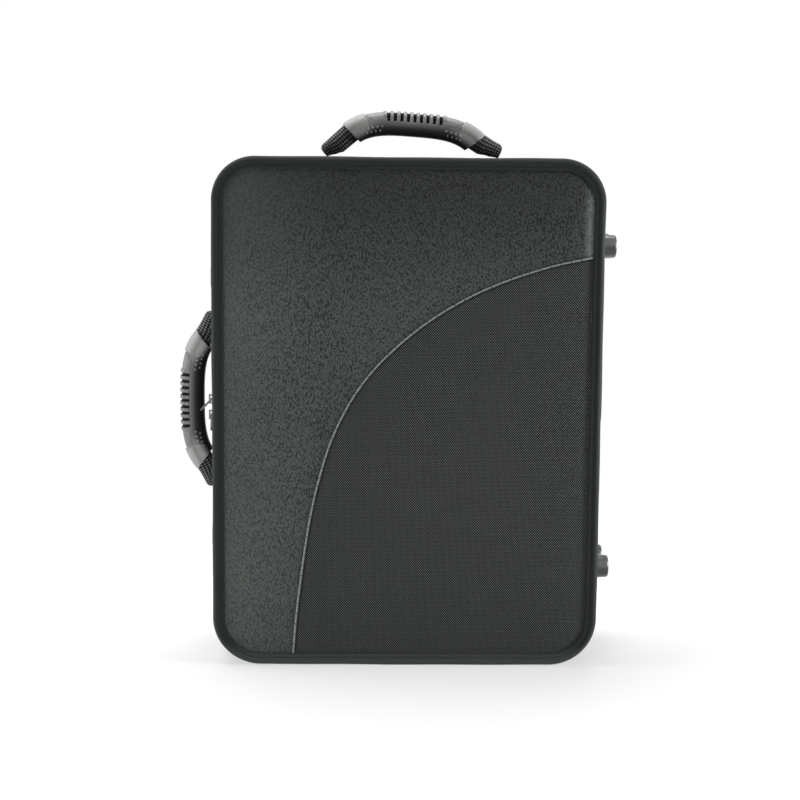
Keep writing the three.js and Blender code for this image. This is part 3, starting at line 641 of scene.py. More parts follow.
panels = dict(
    # where the sheets are tucked in, where the rise beside the binding starts, and its steep and slow parts
    tuck=2.6, clear=9.2, edgeRise=2.7, edgeWidth=6.5, middleRise=0.9, middleReach=140, back=-51.2, filled=0.9,
    rows=260, columns=120, nylonColumns=100, seamPoints=700, lineEnd=0.003,
    # the folded edge: its lip, the groove behind it and the fall to the nylon, which lies deeper and past a gap
    lipWidth=2.2, lipHeight=0.7, lipEdge=0.9, groove=0.3, nylonDrop=0.75, gap=0.2,
    stitchRun=480, stitchPitch=2.3, stitch=(2.1, 1.4, 1.0), stitchIn=1.15, stitchSlant=0.3,
    # where the seam meets the rim, as lengths along the outline
    rimStart=922.5, rimEnd=125.4,
    # the seam between leather and nylon, as shares of the case's width and height
    seam=[(0.53, 0.822), (0.469, 0.8085), (0.379, 0.794), (0.288, 0.773), (0.2, 0.747), (0.119, 0.715),
          (0.041, 0.676), (-0.031, 0.63), (-0.096, 0.578), (-0.149, 0.518), (-0.19, 0.452), (-0.219, 0.382),
          (-0.241, 0.311), (-0.257, 0.238), (-0.27, 0.164), (-0.281, 0.09), (-0.293, -0.03)],
    # soft hollows and swells of the padding: X, Z, half width, half height and rise
    hollows=[(-118, 330, 26, 60, 0.5), (-126, 70, 18, 50, 0.45), (20, 372, 90, 20, -0.35), (128, 348, 16, 34, 0.4),
             (-70, 210, 40, 90, -0.3), (100, 120, 50, 70, 0.25), (-20, 100, 40, 60, -0.2), (60, 300, 60, 30, 0.2)],
)


def smoothLine(points, count, steps=40):
    # a cubic through the points: each span uses the slopes of its neighbours, then even steps along it
    points = np.asarray(points, float)
    ends = np.vstack([2 * points[0] - points[1], points, 2 * points[-1] - points[-2]])
    t = np.linspace(0, len(points) - 1, steps * len(points))
    k = np.clip(t.astype(int), 0, len(points) - 2)
    t = (t - k)[:, None]
    a, b, c, d = (ends[k + n] for n in range(4))
    square, cube = 2 * a - 5 * b + 4 * c - d, 3 * b - a - 3 * c + d
    line = 0.5 * (2 * b + (c - a) * t + square * t ** 2 + cube * t ** 3)
    run = lengthsOf(line)
    even = np.linspace(0, run[-1], count)
    return np.stack([np.interp(even, run, line[:, n]) for n in range(line.shape[1])], -1)


def seamLine(count):
    # the part of the seam inside the tucked edge, from the bottom to the right wall
    line = smoothLine(np.array(panels["seam"])[::-1] * [case["width"], case["height"]], 1200)
    line = line[depthInside(line[:, 0], line[:, 1]) > panels["tuck"]]
    return smoothLine(line[::8], count)


seam = seamLine(panels["seamPoints"])
seamTangent = directions(seam)
seamNormal = np.stack([seamTangent[:, 1], -seamTangent[:, 0]], -1)  # towards the nylon, down and to the right


def fromSeam(x, z, blocks=28):
    # the shortest distance to the seam line, worked out for a block of its points at a time
    flat = np.stack([x.ravel(), z.ravel()], -1)
    best = np.full(len(flat), np.inf)
    for block in np.array_split(np.arange(len(seam)), blocks):
        apart = np.hypot(flat[:, :1] - seam[None, block, 0], flat[:, 1:] - seam[None, block, 1])
        best = np.minimum(best, apart.min(1))
    return best.reshape(x.shape)


def crown(depth, edgeRise, edgeWidth, middleRise, middleReach):
    # a steep rise beside the edge that dies away, and a slow one to the middle
    rise = edgeRise * (1 - np.exp(-depth / edgeWidth))
    return rise + middleRise * (1 - (1 - np.clip(depth / middleReach, 0, 1)) ** 2)


def panelRise(x, z):
    # the crown with a few soft hollows and a faint ripple beside the edge
    t = np.maximum(depthInside(x, z) - panels["clear"], 0)
    rise = crown(t, *(panels[k] for k in ("edgeRise", "edgeWidth", "middleRise", "middleReach")))
    soft = np.zeros_like(rise)
    for cx, cz, wide, high, size in panels["hollows"]:
        soft += size * np.exp(-((x - cx) / wide) ** 2 - ((z - cz) / high) ** 2)
    ripple = 0.09 * np.sin(x * 0.23 + z * 0.05) * np.sin(z * 0.31 + x * 0.07) * np.exp(-t / 22)
    return rise + (soft + ripple) * (1 - np.exp(-t / 8))


def ruledGrid(first, last, columns, line):
    # straight lines from the rim to the seam, with points crowded towards both of their ends
    u = np.linspace(panels["lineEnd"], 1 - panels["lineEnd"], panels["rows"])
    x, z, _, _ = rimAt(first + (last - first) * u, panels["tuck"])
    place = u * (len(line) - 1)
    sx, sz = (np.interp(place, np.arange(len(line)), line[:, n]) for n in range(2))
    v = (0.5 - 0.5 * np.cos(np.linspace(0, math.pi, columns)))[None, :]
    return x[:, None] * (1 - v) + sx[:, None] * v, z[:, None] * (1 - v) + sz[:, None] * v


def closedSheet(x, z, front, back):
    # a front grid and a back grid: each row runs out along the front and home along the back
    face = np.stack([x, front, z], -1)
    rear = np.stack([x, np.full_like(x, back), z], -1)
    rows, cols = x.shape
    points = np.concatenate([face, rear[:, ::-1]], 1).reshape(-1, 3)
    quads = quadsOf(rows, 2 * cols, False, True)
    i = np.arange(cols - 1)
    low = np.stack([i, 2 * cols - 1 - i, 2 * cols - 2 - i, i + 1], -1)
    high = low[:, ::-1] + (rows - 1) * 2 * cols
    quads = np.vstack([quads, low, high])
    return points, quads, np.zeros((0, 3), int), points[quads.ravel()][:, [0, 2]]


def leatherSheet():
    # a half-round lip beside the seam with a groove behind it, falling away at the very edge
    x, z = ruledGrid(panels["rimStart"], panels["rimEnd"], panels["columns"], seam)
    q, half = fromSeam(x, z), panels["lipWidth"] / 2
    lip = panels["lipHeight"] * np.sqrt(np.clip(1 - ((q - half) / half) ** 2, 0, 1))
    lip = lip - panels["groove"] * bump(q, 2.7, 0.6)
    edge = panels["lipEdge"] * (1 - np.clip(q / 0.5, 0, 1)) ** 2
    return closedSheet(x, z, case["frontRim"] - panelRise(x, z) - lip + edge, panels["back"])


def nylonSheet():
    # deeper than the leather by the drop, and deeper again right at the seam
    end = panels["rimEnd"] + rimLength
    x, z = ruledGrid(panels["rimStart"], end, panels["nylonColumns"], seam + seamNormal * panels["gap"])
    rise = panelRise(x, z)
    front = case["frontRim"] - rise * 0.96 + np.minimum(panels["nylonDrop"], rise) + bump(fromSeam(x, z), 0, 1.0)
    return closedSheet(x, z, front, panels["back"])


def seamStitches():
    # slanted threads on the folded edge
    place = np.linspace(12, len(seam) - 13, int(panels["stitchRun"] / panels["stitchPitch"])).astype(int)
    spot = seam[place] - seamNormal[place] * panels["stitchIn"]
    height = case["frontRim"] - panelRise(spot[:, 0], spot[:, 1]) - panels["lipHeight"] - 0.05
    way = seamTangent[place] + seamNormal[place] * panels["stitchSlant"]
    return threads(panels["stitch"], np.stack([spot[:, 0], height, spot[:, 1]], -1),
                   np.stack([way[:, 0], place * 0.0, way[:, 1]], -1), [0, -1, 0])


print("stage: lid panels")
addPiece("leather_face", [leatherSheet()], finishes["leather"], "lid", ["leather_panel"], 50)
addPiece("nylon_face", [nylonSheet()], finishes["panelNylon"], "lid", ["nylon_panel"], 50)
addPiece("seam_stitches", [seamStitches()], finishes["lightThread"], "lid")


# Binding tapes

bindings = dict(
    # the section as distance in from the edge and height over the rim: flange, groove, round edge, wall leg
    section=[(9.15, 0.35), (9.2, 1.1), (9.0, 1.5), (8.4, 1.68), (7.6, 1.72), (6.9, 1.6), (6.35, 1.3), (5.95, 1.12),
             (5.5, 1.32), (4.9, 1.72), (4.1, 2.02), (3.2, 2.1), (2.3, 1.92), (1.4, 1.5), (0.7, 0.85), (0.2, 0.0),
             (0.0, -1.0), (-0.05, -2.2), (0.05, -3.6), (0.1, -5.0), (0.3, -6.3), (0.7, -6.95), (1.6, -7.0),
             (1.68, -6.0), (1.68, 0.32)],
    step=4.0, cornerStep=1.1, pitch=3.2, inset=5.95, stitchRise=1.2, stitch=(2.2, 0.75, 0.6), pucker=0.16,
)


def bindingLift(s, section):
    # slight waves along the tape, more in the corners where it is gathered, none on its hidden inner side
    free = ((section[None, :, 1] > 0.9) | (section[None, :, 0] < 0.6)).astype(float)
    _, _, nx, nz = rimAt(s, 0)
    corner = np.clip(np.abs(nx * nz) * 2, 0, 1)
    wave = np.sin(s * 0.083) * 0.12 + np.sin(s * 0.031 + 1.3) * 0.14
    pucker = np.sin(s * 1.9) * bindings["pucker"] * corner
    return (wave + pucker * 0.5) * free, pucker * free


print("stage: bindings")
for name, body, rimY, way in (("front", "lid", case["frontRim"], -1), ("back", "base", case["backRim"], 1)):
    section = [(inset, rimY + way * rise) for inset, rise in bindings["section"]]
    tape = rimSweep(section, stations(bindings["step"], bindings["cornerStep"]), lift=bindingLift)
    addPiece(f"{name}_binding", [tape], finishes["binding"], body, [f"{body}_binding"], 60)
    count = int(rimLength / bindings["pitch"])
    s = (np.arange(count) + 0.5) * rimLength / count
    row = rimThreads(s, bindings["inset"], rimY + way * bindings["stitchRise"], bindings["stitch"], way)
    addPiece(f"{name}_binding_stitches", [row], finishes["darkThread"], body)


# Side covers and the back

covers = dict(
    # Y from front to back of each wall's cloth, insets of its outer and inner faces, and its dip between them
    lid=(-50.9, -21.7), base=(-20.3, 52.1), outer=2.0, inner=3.2, dip=0.21, edgeIn=0.35,
    backRise=1.5, backMiddle=0.9, backWidth=6, backReach=140, backClear=9.2, backTuck=2.6, backFront=52.4,
    backRings=70, filled=0.8,
)


def coverSection(y0, y1, points=16):
    # the outer face dips between its ends and the inner face is flat; both ends are rounded
    t = np.linspace(0, 1, points)
    inset = covers["outer"] + covers["dip"] * np.sin(t * math.pi) ** 2
    inset[[0, -1]] += covers["edgeIn"]
    return [*zip(inset, y0 + (y1 - y0) * t), (covers["inner"], y1), (covers["inner"], y0)]


def coverLift(s, section):
    # faint pulls in the cloth across the wall, none at the inner face
    free = (section[None, :, 0] < 2.9).astype(float)
    return -np.abs(0.12 * np.sin(s * 0.11 + section[None, :, 1] * 0.05) * np.sin(s * 0.037)) * free, 0 * s


def backSheet():
    # nested outlines drawn together towards the middle line, crowned towards the back
    share = np.linspace(0, 1, covers["backRings"])[:, None] ** 1.4
    x, z, _, _ = rimAt(stations(4.0, 2.0), covers["backTuck"])
    gx = x[None] * (1 - share)
    gz = z[None] * (1 - share) + (middleHigh + np.clip(z - middleHigh, -60, 60))[None] * share
    t = np.maximum(depthInside(gx, gz) - covers["backClear"], 0)
    rise = crown(t, *(covers[k] for k in ("backRise", "backWidth", "backMiddle", "backReach")))
    rise -= 0.12 * np.abs(np.sin(gx * 0.05 + 1) * np.sin(gz * 0.037)) * (1 - np.exp(-t / 10))
    face = np.stack([gx, case["backRim"] + rise, gz], -1)
    flat = np.full_like(x, covers["backFront"])
    under, deep = (np.stack([x * draw, flat, middleHigh + (z - middleHigh) * draw], -1) for draw in (1, 0.5))
    points, quads, tris, _ = tube(np.concatenate([deep[None], under[None], face]))
    uv = np.vstack([points[quads.ravel()], points[tris.ravel()]])[:, [0, 2]]
    return points, quads, tris, uv


print("stage: covers")
for body in ("lid", "base"):
    cloth = addPiece(
        body + "_wall_cloth", [rimSweep(coverSection(*covers[body]), stations(4.0, 2.2), lift=coverLift)],
        finishes["wallNylon"], body, [f"{body}_side_cover"], 50)
    front, back = covers[body]
    sum(runLengths) / 1000
addPiece("back_cloth", [backSheet()], finishes["panelNylon"], "base", ["base_back_cover"], 50)


# Zip

zipParts = dict(
    # lengths along the outline where the zip starts and stops, leaving room for the hinge, and one tooth's size
    start=112.0, stop=rimLength - 112.0, pitch=1.5, tooth=(2.3, 1.15, 1.7), toothIn=1.05, toothSlant=0.12,
    # the tapes: distances from the split, and insets of their two faces
    tapeFrom=2.35, tapeTo=8.35, tapeOuter=0.9, tapeInner=1.7, edgeIn=0.25,
    stitchPitch=2.6, stitchFrom=7.2, stitch=(1.8, 0.5, 0.4), endGap=4,
)


def zipBand(side):
    # a thin woven strip: a flat section with rounded edges, between its two closed ends
    near, far = (case["splitY"] + side * zipParts[k] for k in ("tapeFrom", "tapeTo"))
    out, inner = zipParts["tapeOuter"], zipParts["tapeInner"]
    section = [(out + 0.08 * math.sin(v * 9), near + (far - near) * v) for v in np.linspace(0.12, 0.88, 8)]
    edge = out + zipParts["edgeIn"]
    section = [(edge, near), *section, (edge, far), (inner, far), (inner, near)]
    s = np.concatenate([[zipParts["start"]], stations(3.5, 2.0)])
    s = s[(s >= zipParts["start"]) & (s < zipParts["stop"])]
    return rimSweep(section, np.append(s, zipParts["stop"]), loop=False)


def zipTeeth(side):
    # one rounded link after another, each lying across the gap; the two rows lie half a link apart
    count = int((zipParts["stop"] - zipParts["start"]) / zipParts["pitch"] / 2)
    shift = 0.25 + 0.25 * side
    s = zipParts["start"] + 1 + (np.arange(count) + shift) * zipParts["pitch"] * 2
    x, z, nx, nz = rimAt(s, zipParts["toothIn"])
    at = np.stack([x, np.full_like(x, case["splitY"] + side), z], -1)
    slant = zipParts["toothSlant"]
    along = np.stack([-nz * slant, np.full_like(nx, 1.0), nx * slant], -1)
    return threads(zipParts["tooth"], at, along, np.stack([nx, nx * 0, nz], -1), sides=6, rings=3)


def zipStitches(side):
    # the row that sews a tape to its wall
    run = zipParts["stop"] - zipParts["start"] - 2 * zipParts["endGap"]
    count = int(run / zipParts["stitchPitch"])
    s = zipParts["start"] + zipParts["endGap"] + np.arange(count) * zipParts["stitchPitch"]
    return rimThreads(s, zipParts["tapeOuter"] - 0.02, case["splitY"] + side * zipParts["stitchFrom"],
                      zipParts["stitch"], 0, sides=5, rings=3)


print("stage: zip")
for body, side in (("lid", -1), ("base", 1)):
    addPiece(f"{body}_zip_tape", [zipBand(side)], finishes["tape"], body, [f"zipper_tape_{body}"], 50)
    addPiece(f"{body}_zip_coil", [zipTeeth(side)], finishes["coil"], body, [f"zipper_teeth_{body}"], 60)
    addPiece(f"{body}_zip_stitches", [zipStitches(side)], finishes["darkThread"], body)


# Fabric hinge

hinge = dict(
    low=88.3, high=311.7, inner=150.3, outer=151.2, reach=8.15, thick=0.9, rows=90, columns=24,
    pucker=0.12, dip=0.22, edgeIn=0.35, half=1.5,
)


def hingeCloth():
    # a thin strip over the split: it dips a little into the gap, with small puckers up its height
    z = np.linspace(hinge["low"], hinge["high"], hinge["rows"])[:, None]
    v = np.linspace(-1, 1, hinge["columns"])[None, :]
    pucker = hinge["pucker"] * np.sin(z * 0.5) * bump(v, 0, 0.45) - hinge["dip"] * bump(v, 0, 0.16)
    fall = hinge["edgeIn"] * np.clip((np.abs(v) - 0.86) / 0.14, 0, 1) ** 2
    out = hinge["outer"] - 0.15 + pucker - fall
    face = np.stack([out, case["splitY"] + v * hinge["reach"] + z * 0, z + v * 0], -1)
    rear = face[:, ::-1].copy()
    rear[..., 0] = hinge["inner"]
    wide, thick = hinge["reach"] * 2, hinge["thick"]
    around = np.concatenate([np.linspace(0, wide, hinge["columns"]),
                             np.linspace(wide + thick, 2 * wide + thick, hinge["columns"]), [2 * (wide + thick)]])
    return tube(np.concatenate([face, rear], 1), along=np.append(z[:, 0], hinge["high"] + 1), around=around)


print("stage: hinge")
strip = addPiece("hinge_cloth", [hingeCloth()], finishes["webbing"], None,
                 ["hinge_strip_base", "hinge_strip_lid"], 50)
middle = np.array([hinge["inner"], case["splitY"], middleHigh])
baseEnd, lidEnd = (toRow(middle + [0, side * hinge["half"], 0]) for side in (1, -1))
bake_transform(strip)


# Handles, each in its own frame: X along the wall, Z out of it

handles = dict(
    # the grip: a line that turns to its end angle, and an oval section with a flatter crown and a deeper palm
    halfLength=54, endAngle=43, bend=2.4, halfWidth=12, halfThick=8.4, inner=11.0, belly=-0.5,
    oval=0.75, crownOval=0.95, steps=420, sides=112,
    # its ribbed middle, the slots between the ribs, the raised ends, the pads' edges and the rows of pips
    ribbed=24.5, ribRise=0.9, slots=9, pitch=5.2, slot=2.7, slotDepth=4.6, collar=38.3, collarRise=1.1,
    padEdge=37.6, padSlant=5.0, pipCount=8, pipFirst=26.25, pipPitch=2.1, pipAngles=(-0.2, -0.54), pipRise=0.55,
    # the sleeves, from the grip's end to a ball that turns on the root line
    sleeve=7.8, mouth=8.3, cap=4.6, tuck=6.0, rootSpan=66.8, axis=7.2, patchTop=2.15, sleeveSides=28, strands=15,
    strand=2.6,
    # the patches under them
    seat=0.3, anchorLength=36, anchorWidth=24, anchorThick=1.6, anchorCorner=4, rivetSpread=13.6,
    patchStitches=34, stitch=(2.2, 0.6, 0.5), stitchBox=(15.5, 9.8),
    top=dict(reach=38.7, tilt=4.0, endLean=2.2, at=(4, 24, 398)),
    side=dict(reach=35, tilt=0.0, endLean=3.8, at=(-150, 24, 202.2)),
)

gripRelief = dict(
    # sines of the turn, 1 on the crown and -1 in the palm: between which each form fades in towards the crown,
    # and the place and width of the parting line
    ends=(-0.05, 0.3), ribs=(0.3, 0.62), slots=(0.1, 0.2), pads=(0.08, 0.14), parting=0.1, partingWidth=0.05,
    # the share of its depth that a slot loses on the crown, and the millimetres of its half width that it loses
    # down the sides, where the pads' edges lean too
    shallow=(0.7, 0.97), shallower=0.7, narrow=(-0.8, -0.15), narrower=0.4, lean=(-0.75, -0.05),
    # millimetres: soft steps, a slot's soft edges, the fall at the ends, grooves, the parting line and the pips,
    # and the radius that turns an angle into a length between them
    soft=0.4, slotEdge=(0.1, 0.15), endFrom=1.2, endFall=0.3, groove=0.5, partingDepth=0.4,
    partingEnd=(34.8, 35.5), pip=0.75, radius=10.0,
)

gripLook = dict(
    # the outside's two greys lit from above, the painted highlight at its ends, the painted shade of the palm and
    # the slots, and the painted highlight of the pips
    outside=(shade(106, 108, 106), shade(122, 124, 121)), ends=shade(156, 158, 155), endHighlightFade=(36.5, 40.0),
    palm=shade(30, 32, 31), palmShadeFade=(-0.34, 0.3), slots=shade(6, 6, 6), pips=shade(170, 172, 169),
    # noise scales for each metre, and millimetres from the middle between which the pips are
    spark=1500.0, rub=45.0, pipsFrom=(25.0, 25.4), pipsTo=(41.6, 42.0),
)


def mouldedRubber(name):
    # lit grey outside with painted shade that goes black towards the palm and in the slots, and painted highlights
    # at the ends and on the pips; u is millimetres along and v turns round the grip
    finish = Finish(name, specular=0.3)
    spot = finish.place()
    spark = finish.noise(spot, gripLook["spark"], 2.0, 0.6)
    rub = finish.noise(spot, gripLook["rub"], 3.0)
    along, turn, _ = finish.parts(finish.lengths())
    far, height = along.abs(), turn.wave(1.0)
    ribEnd = handles["ribbed"]
    # painted shade in the slots between the ribs
    slot = (along + handles["pitch"] / 4).wave(handles["pitch"]).ramp(-0.12, 0.08)
    slot = slot * far.fall(ribEnd - 0.3, ribEnd + 0.1) * height.ramp(0.1, 0.18)
    outside = finish.blend(rub.ramp(0.35, 0.7), *gripLook["outside"])
    # painted highlight towards the ends
    outside = finish.blend(far.ramp(*gripLook["endHighlightFade"]) * 0.55, outside, gripLook["ends"])
    # painted shade towards the palm
    palm = (height + far.ramp(26, 46) * 0.5).ramp(*gripLook["palmShadeFade"])
    colour = finish.blend(palm, gripLook["palm"], outside)
    first, pitch = handles["pipFirst"], handles["pipPitch"]
    # painted highlights on the pips
    for row, angle in enumerate(handles["pipAngles"]):
        onPip = (far - (first + pitch * (row - 0.5))).wave(pitch * 2).ramp(0.45, 0.8)
        onRow = (height - math.sin(angle)).abs().fall(0.03, 0.075)
        here = far.ramp(*gripLook["pipsFrom"]) * far.fall(*gripLook["pipsTo"])
        colour = finish.blend(onPip * onRow * here * 0.8, colour, gripLook["pips"])
    finish.surface(finish.blend(slot * 0.95, colour, gripLook["slots"]),
                   0.40 + spark * 0.12 + rub * 0.06 + slot * 0.4)
    finish.relief(spark, 0.00012, 0.5)
    return finish.material


def braidedMesh(name, dark, light, pitch=4.2, slant=0.8):
    # two sets of bands crossing at a slant: one runs over the other in turn
    finish = Finish(name, specular=0.12, sheen=0.05)
    u, v, _ = finish.parts(finish.lengths())
    left, right = (u + v * slant).wave(pitch), (u - v * slant).wave(pitch)
    over = (left * right).ramp(-0.3, 0.5)
    hole = (1.0 - left.abs()) * (1.0 - right.abs())
    finish.surface(finish.blend(over - hole * 0.8, dark, light), 0.72 - over * 0.2)
    finish.relief(over - hole, 0.0008, 0.9)
    return finish.material


finishes.update(
    rubber=mouldedRubber("mouldedRubber"),
    mesh=braidedMesh("braidedMesh", shade(14, 16, 15), shade(112, 116, 112)),
)


def gripLine(at, steps=24):
    # the middle line turns by the end angle times a power of the distance from its middle, summed in small steps
    share = (np.arange(steps) + 0.5)[:, None] / steps * np.abs(at)[None, :]
    angle = math.radians(handles["endAngle"]) * share ** handles["bend"]
    step = handles["halfLength"] * np.abs(at) / steps
    turn = math.radians(handles["endAngle"]) * np.abs(at) ** handles["bend"] * np.sign(at)
    return (np.cos(angle) * step).sum(0) * np.sign(at), (np.sin(angle) * step).sum(0), turn


def gripRise(mm, turnRound):
    # millimetres that the surface stands out of its oval: raised ends, ribs with slots between them, the pads'
    # edges, a parting line and the pips
    far, sine, form = np.abs(mm), np.sin(turnRound), gripRelief
    soft, groove, end, collar = form["soft"], form["groove"], handles["halfLength"], handles["collar"]
    ribs = smooth(-far, -handles["ribbed"] - soft, -handles["ribbed"])
    fromSlot = np.abs((mm / handles["pitch"] + handles["slots"] / 2) % 1 - 0.5) * handles["pitch"]
    half = handles["slot"] / 2 - form["narrower"] * smooth(-sine, *form["narrow"])
    slots = smooth(-fromSlot, -half - form["slotEdge"][0], -half + form["slotEdge"][1]) * ribs
    rise = smooth(far, collar - soft, collar + soft) * smooth(sine, *form["ends"]) * handles["collarRise"]
    rise = rise - form["endFall"] * smooth(far, end - form["endFrom"], end)
    rise = rise + ribs * handles["ribRise"] * smooth(sine, *form["ribs"])
    depth = handles["slotDepth"] * (1 - form["shallower"] * smooth(sine, *form["shallow"]))
    rise = rise - slots * depth * smooth(sine, *form["slots"])
    padEdge = handles["padEdge"] - handles["padSlant"] * smooth(-sine, *form["lean"])
    rise = rise - groove * bump(far, padEdge, groove) * smooth(sine, *form["pads"]) * (1 - ribs)
    parting = bump(sine, form["parting"], form["partingWidth"]) * (1 - smooth(far, *form["partingEnd"]))
    rise = rise - form["partingDepth"] * parting
    for k in range(handles["pipCount"]):
        along = far - (handles["pipFirst"] + k * handles["pipPitch"])
        angle = handles["pipAngles"][k % 2]
        for side in (angle, math.pi - angle):
            across = (np.mod(turnRound - side + math.pi, 2 * math.pi) - math.pi) * form["radius"]
            rise = rise + handles["pipRise"] * bump(np.hypot(along, across), 0, form["pip"], 4)
    return rise


def gripShape(reach, endLean):
    # an oval section along the bowed line, moved out along its own normal by the rise
    at = np.linspace(-1, 1, handles["steps"])
    x, drop, turn = gripLine(at)
    mm = (at * handles["halfLength"])[:, None]
    turnRound = fullTurn(handles["sides"], 0.5)[None, :]
    sine, cosine = np.sin(turnRound), np.cos(turnRound)
    # the outer half leans in towards its crown, and the inner half is fuller
    lean = np.where(sine > 0, handles["crownOval"], handles["oval"])
    across = handles["halfWidth"] * np.sign(cosine) * np.abs(cosine) ** handles["oval"]
    palm = handles["inner"] + handles["belly"] * (1 - at[:, None] ** 2)
    thick = np.where(sine > 0, handles["halfThick"], palm)
    out = thick * np.sign(sine) * np.abs(sine) ** lean
    rise = gripRise(mm, turnRound)
    length = np.hypot(across / handles["halfWidth"] ** 2, out / thick ** 2)
    across = across + rise * across / handles["halfWidth"] ** 2 / length
    out = out + rise * out / thick ** 2 / length
    apex = reach - handles["halfThick"] - handles["ribRise"]
    tc, ts = np.cos(turn)[:, None], np.sin(turn)[:, None]
    # the end faces lean: the inner side of each end stops short of the outer side
    short = np.sign(mm) * endLean * (1 - sine) / 2 * (np.abs(mm) / handles["halfLength"]) ** 4
    rings = np.stack([x[:, None] + out * ts - short * tc, across + 0 * ts,
                      apex - drop[:, None] + out * tc + short * ts], -1)
    first, last = rings[0].mean(0), rings[-1].mean(0)
    caps = [first + (rings[0] - first) * share for share in (0.6, 0.93)]
    tails = [last + (rings[-1] - last) * share for share in (0.93, 0.6)]
    ends = handles["halfLength"] + np.array([1.0, 2.0, 3.0])
    along = np.concatenate([-ends[1::-1], mm[:, 0], ends])
    around = (np.arange(handles["sides"] + 1) + 0.5) / handles["sides"]
    return np.concatenate([np.stack(caps), rings, np.stack(tails)]), along, around


def askew(points, tilt):
    # a turn about the middle of the root line, as the grip sits aslant in its sleeves
    angle = math.radians(tilt)
    x, z = points[..., 0], points[..., 2] - handles["axis"]
    return np.stack([x * math.cos(angle) + z * math.sin(angle), points[..., 1],
                     z * math.cos(angle) - x * math.sin(angle) + handles["axis"]], -1)


def sleevePath(reach, tilt, side, steps=26):
    # a curve of three points from inside the grip's end to the root, with its direction at each step
    x, drop, turn = gripLine(np.array([float(side)]))
    heading = np.array([math.cos(turn[0]), 0, -math.sin(turn[0])]) * side
    apex = reach - handles["halfThick"] - handles["ribRise"]
    first = askew(np.array([x[0], 0, apex - drop[0]]) - heading * handles["tuck"], tilt)
    heading = askew(heading + [0, 0, handles["axis"]], tilt) - [0, 0, handles["axis"]]
    root = np.array([side * handles["rootSpan"], 0, handles["axis"]])
    ahead = first + heading * np.linalg.norm(root - first) / 2
    bend = (first + root) / 2 * 0.65 + ahead * 0.35
    t = np.linspace(0, 1, steps)[:, None]
    path = first * (1 - t) ** 2 + bend * 2 * t * (1 - t) + root * t ** 2
    slope = (bend - first) * (1 - t) + (root - bend) * t
    return t, path, slope / np.linalg.norm(slope, axis=1, keepdims=True)


def sleeveShape(reach, tilt, side):
    # a round tube on the sleeve's path, closed by a ball that turns on the root line
    t, path, slope = sleevePath(reach, tilt, side)
    root = path[-1]
    angle = np.linspace(0, math.pi / 2, 10)[1:-1, None]
    centres = np.vstack([path, root + slope[-1] * handles["cap"] * np.sin(angle)])
    slopes = np.vstack([slope, np.repeat(slope[-1:], len(angle), 0)])
    cross = np.array([0.0, side, 0.0])
    out = np.cross(slopes, cross)
    share = np.vstack([t, np.ones_like(angle)])
    full = handles["sleeve"] + (handles["mouth"] - handles["sleeve"]) * (1 - share)
    full[-len(angle):] = handles["sleeve"] * np.cos(angle) ** 0.5
    # the outer side runs straight; the inner side is cut back so that it clears the patch when the handle swings
    # by 50 degrees, whose cosine is swung: the section's lowest point then lies slack radii under its centre,
    # and the spare height is left free, with more of it away from the root
    swung, slack, spare, more = 0.643, 0.95, 0.4, 0.5
    fromRoot = np.linalg.norm(centres - root, axis=1, keepdims=True)
    clear = handles["axis"] - handles["patchTop"] - spare - more * smooth(fromRoot, 2, 6) * (share < 1)
    raised = (centres[:, 2:] - handles["axis"] + out[:, 2:] * full) * swung
    radius = np.minimum(full, (clear + raised) / (slack + swung * out[:, 2:]))
    centres = centres + out * (full - radius)
    turn = fullTurn(handles["sleeveSides"])[None, :, None]
    rings = centres[:, None] + (cross * np.cos(turn) + out[:, None] * np.sin(turn)) * radius[:, :, None]
    along = lengthsOf(centres)
    around = np.linspace(0, handles["strands"] * handles["strand"], handles["sleeveSides"] + 1)
    return tube(rings, along=np.append(along, along[-1] + 1), around=around)


def roundedPlate(length, width, low, high, corner, soft=0.35, sides=40):
    # nested rounded rectangles: the lower edge, the side, a soft upper edge and the top
    turn = fullTurn(sides, 0.5)
    dx, dy = np.cos(turn), np.sin(turn)
    steps = ((0.02, low), (0, high - soft), (soft * 0.3, high - soft * 0.3), (soft, high), (corner * 0.9, high))
    rings = []
    for inset, z in steps:
        r = max(corner - inset, 0.05)
        rings.append(np.stack([np.sign(dx) * (length / 2 - corner) + r * dx,
                               np.sign(dy) * (width / 2 - corner) + r * dy, dx * 0 + z], -1))
    return tube(np.stack(rings))


def turnedRings(profile, sides):
    # corners of radius and height turned about Z
    profile, turn = np.asarray(profile, float), fullTurn(sides)
    radius, height = profile[:, :1], profile[:, 1:] + 0 * turn
    return np.stack([radius * np.cos(turn), radius * np.sin(turn), height], -1)


def moved(shape, move):
    return (shape[0] + np.asarray(move), *shape[1:])


def onWall(shape, place):
    # the top handle is moved only; the side handle is turned so that its outward Z becomes -X
    points = shape[0]
    if place == "side":
        points = np.stack([-points[..., 2], points[..., 1], points[..., 0]], -1)
    return (points + np.array(handles[place]["at"]), *shape[1:])


def rivetShape(high):
    # a low domed head with a dimple in its middle, over a patch whose top is at this height
    return tube(turnedRings([
        (2.2, high - 0.6), (3.2, high), (3.15, high + 0.4), (2.5, high + 0.72), (1.5, high + 0.8),
        (1.3, high + 0.55), (0.4, high + 0.5)], 24))


def patchStitches(high):
    # one thread after another round a rectangle: clipped zigzag waves give its X and Y
    count = handles["patchStitches"]
    turn = (np.arange(count) + 0.5) / count * 4
    x, y = (np.clip(1.9 * np.abs((turn + shift) % 4 - 2) - 1.9, -1, 1) * half
            for shift, half in zip((1, 0), handles["stitchBox"]))
    loop = np.stack([x, y, turn * 0 + high + 0.05], -1)
    step = np.roll(loop, -1, 0) - np.roll(loop, 1, 0)
    return threads(handles["stitch"], loop, step, [0, 0, 1])


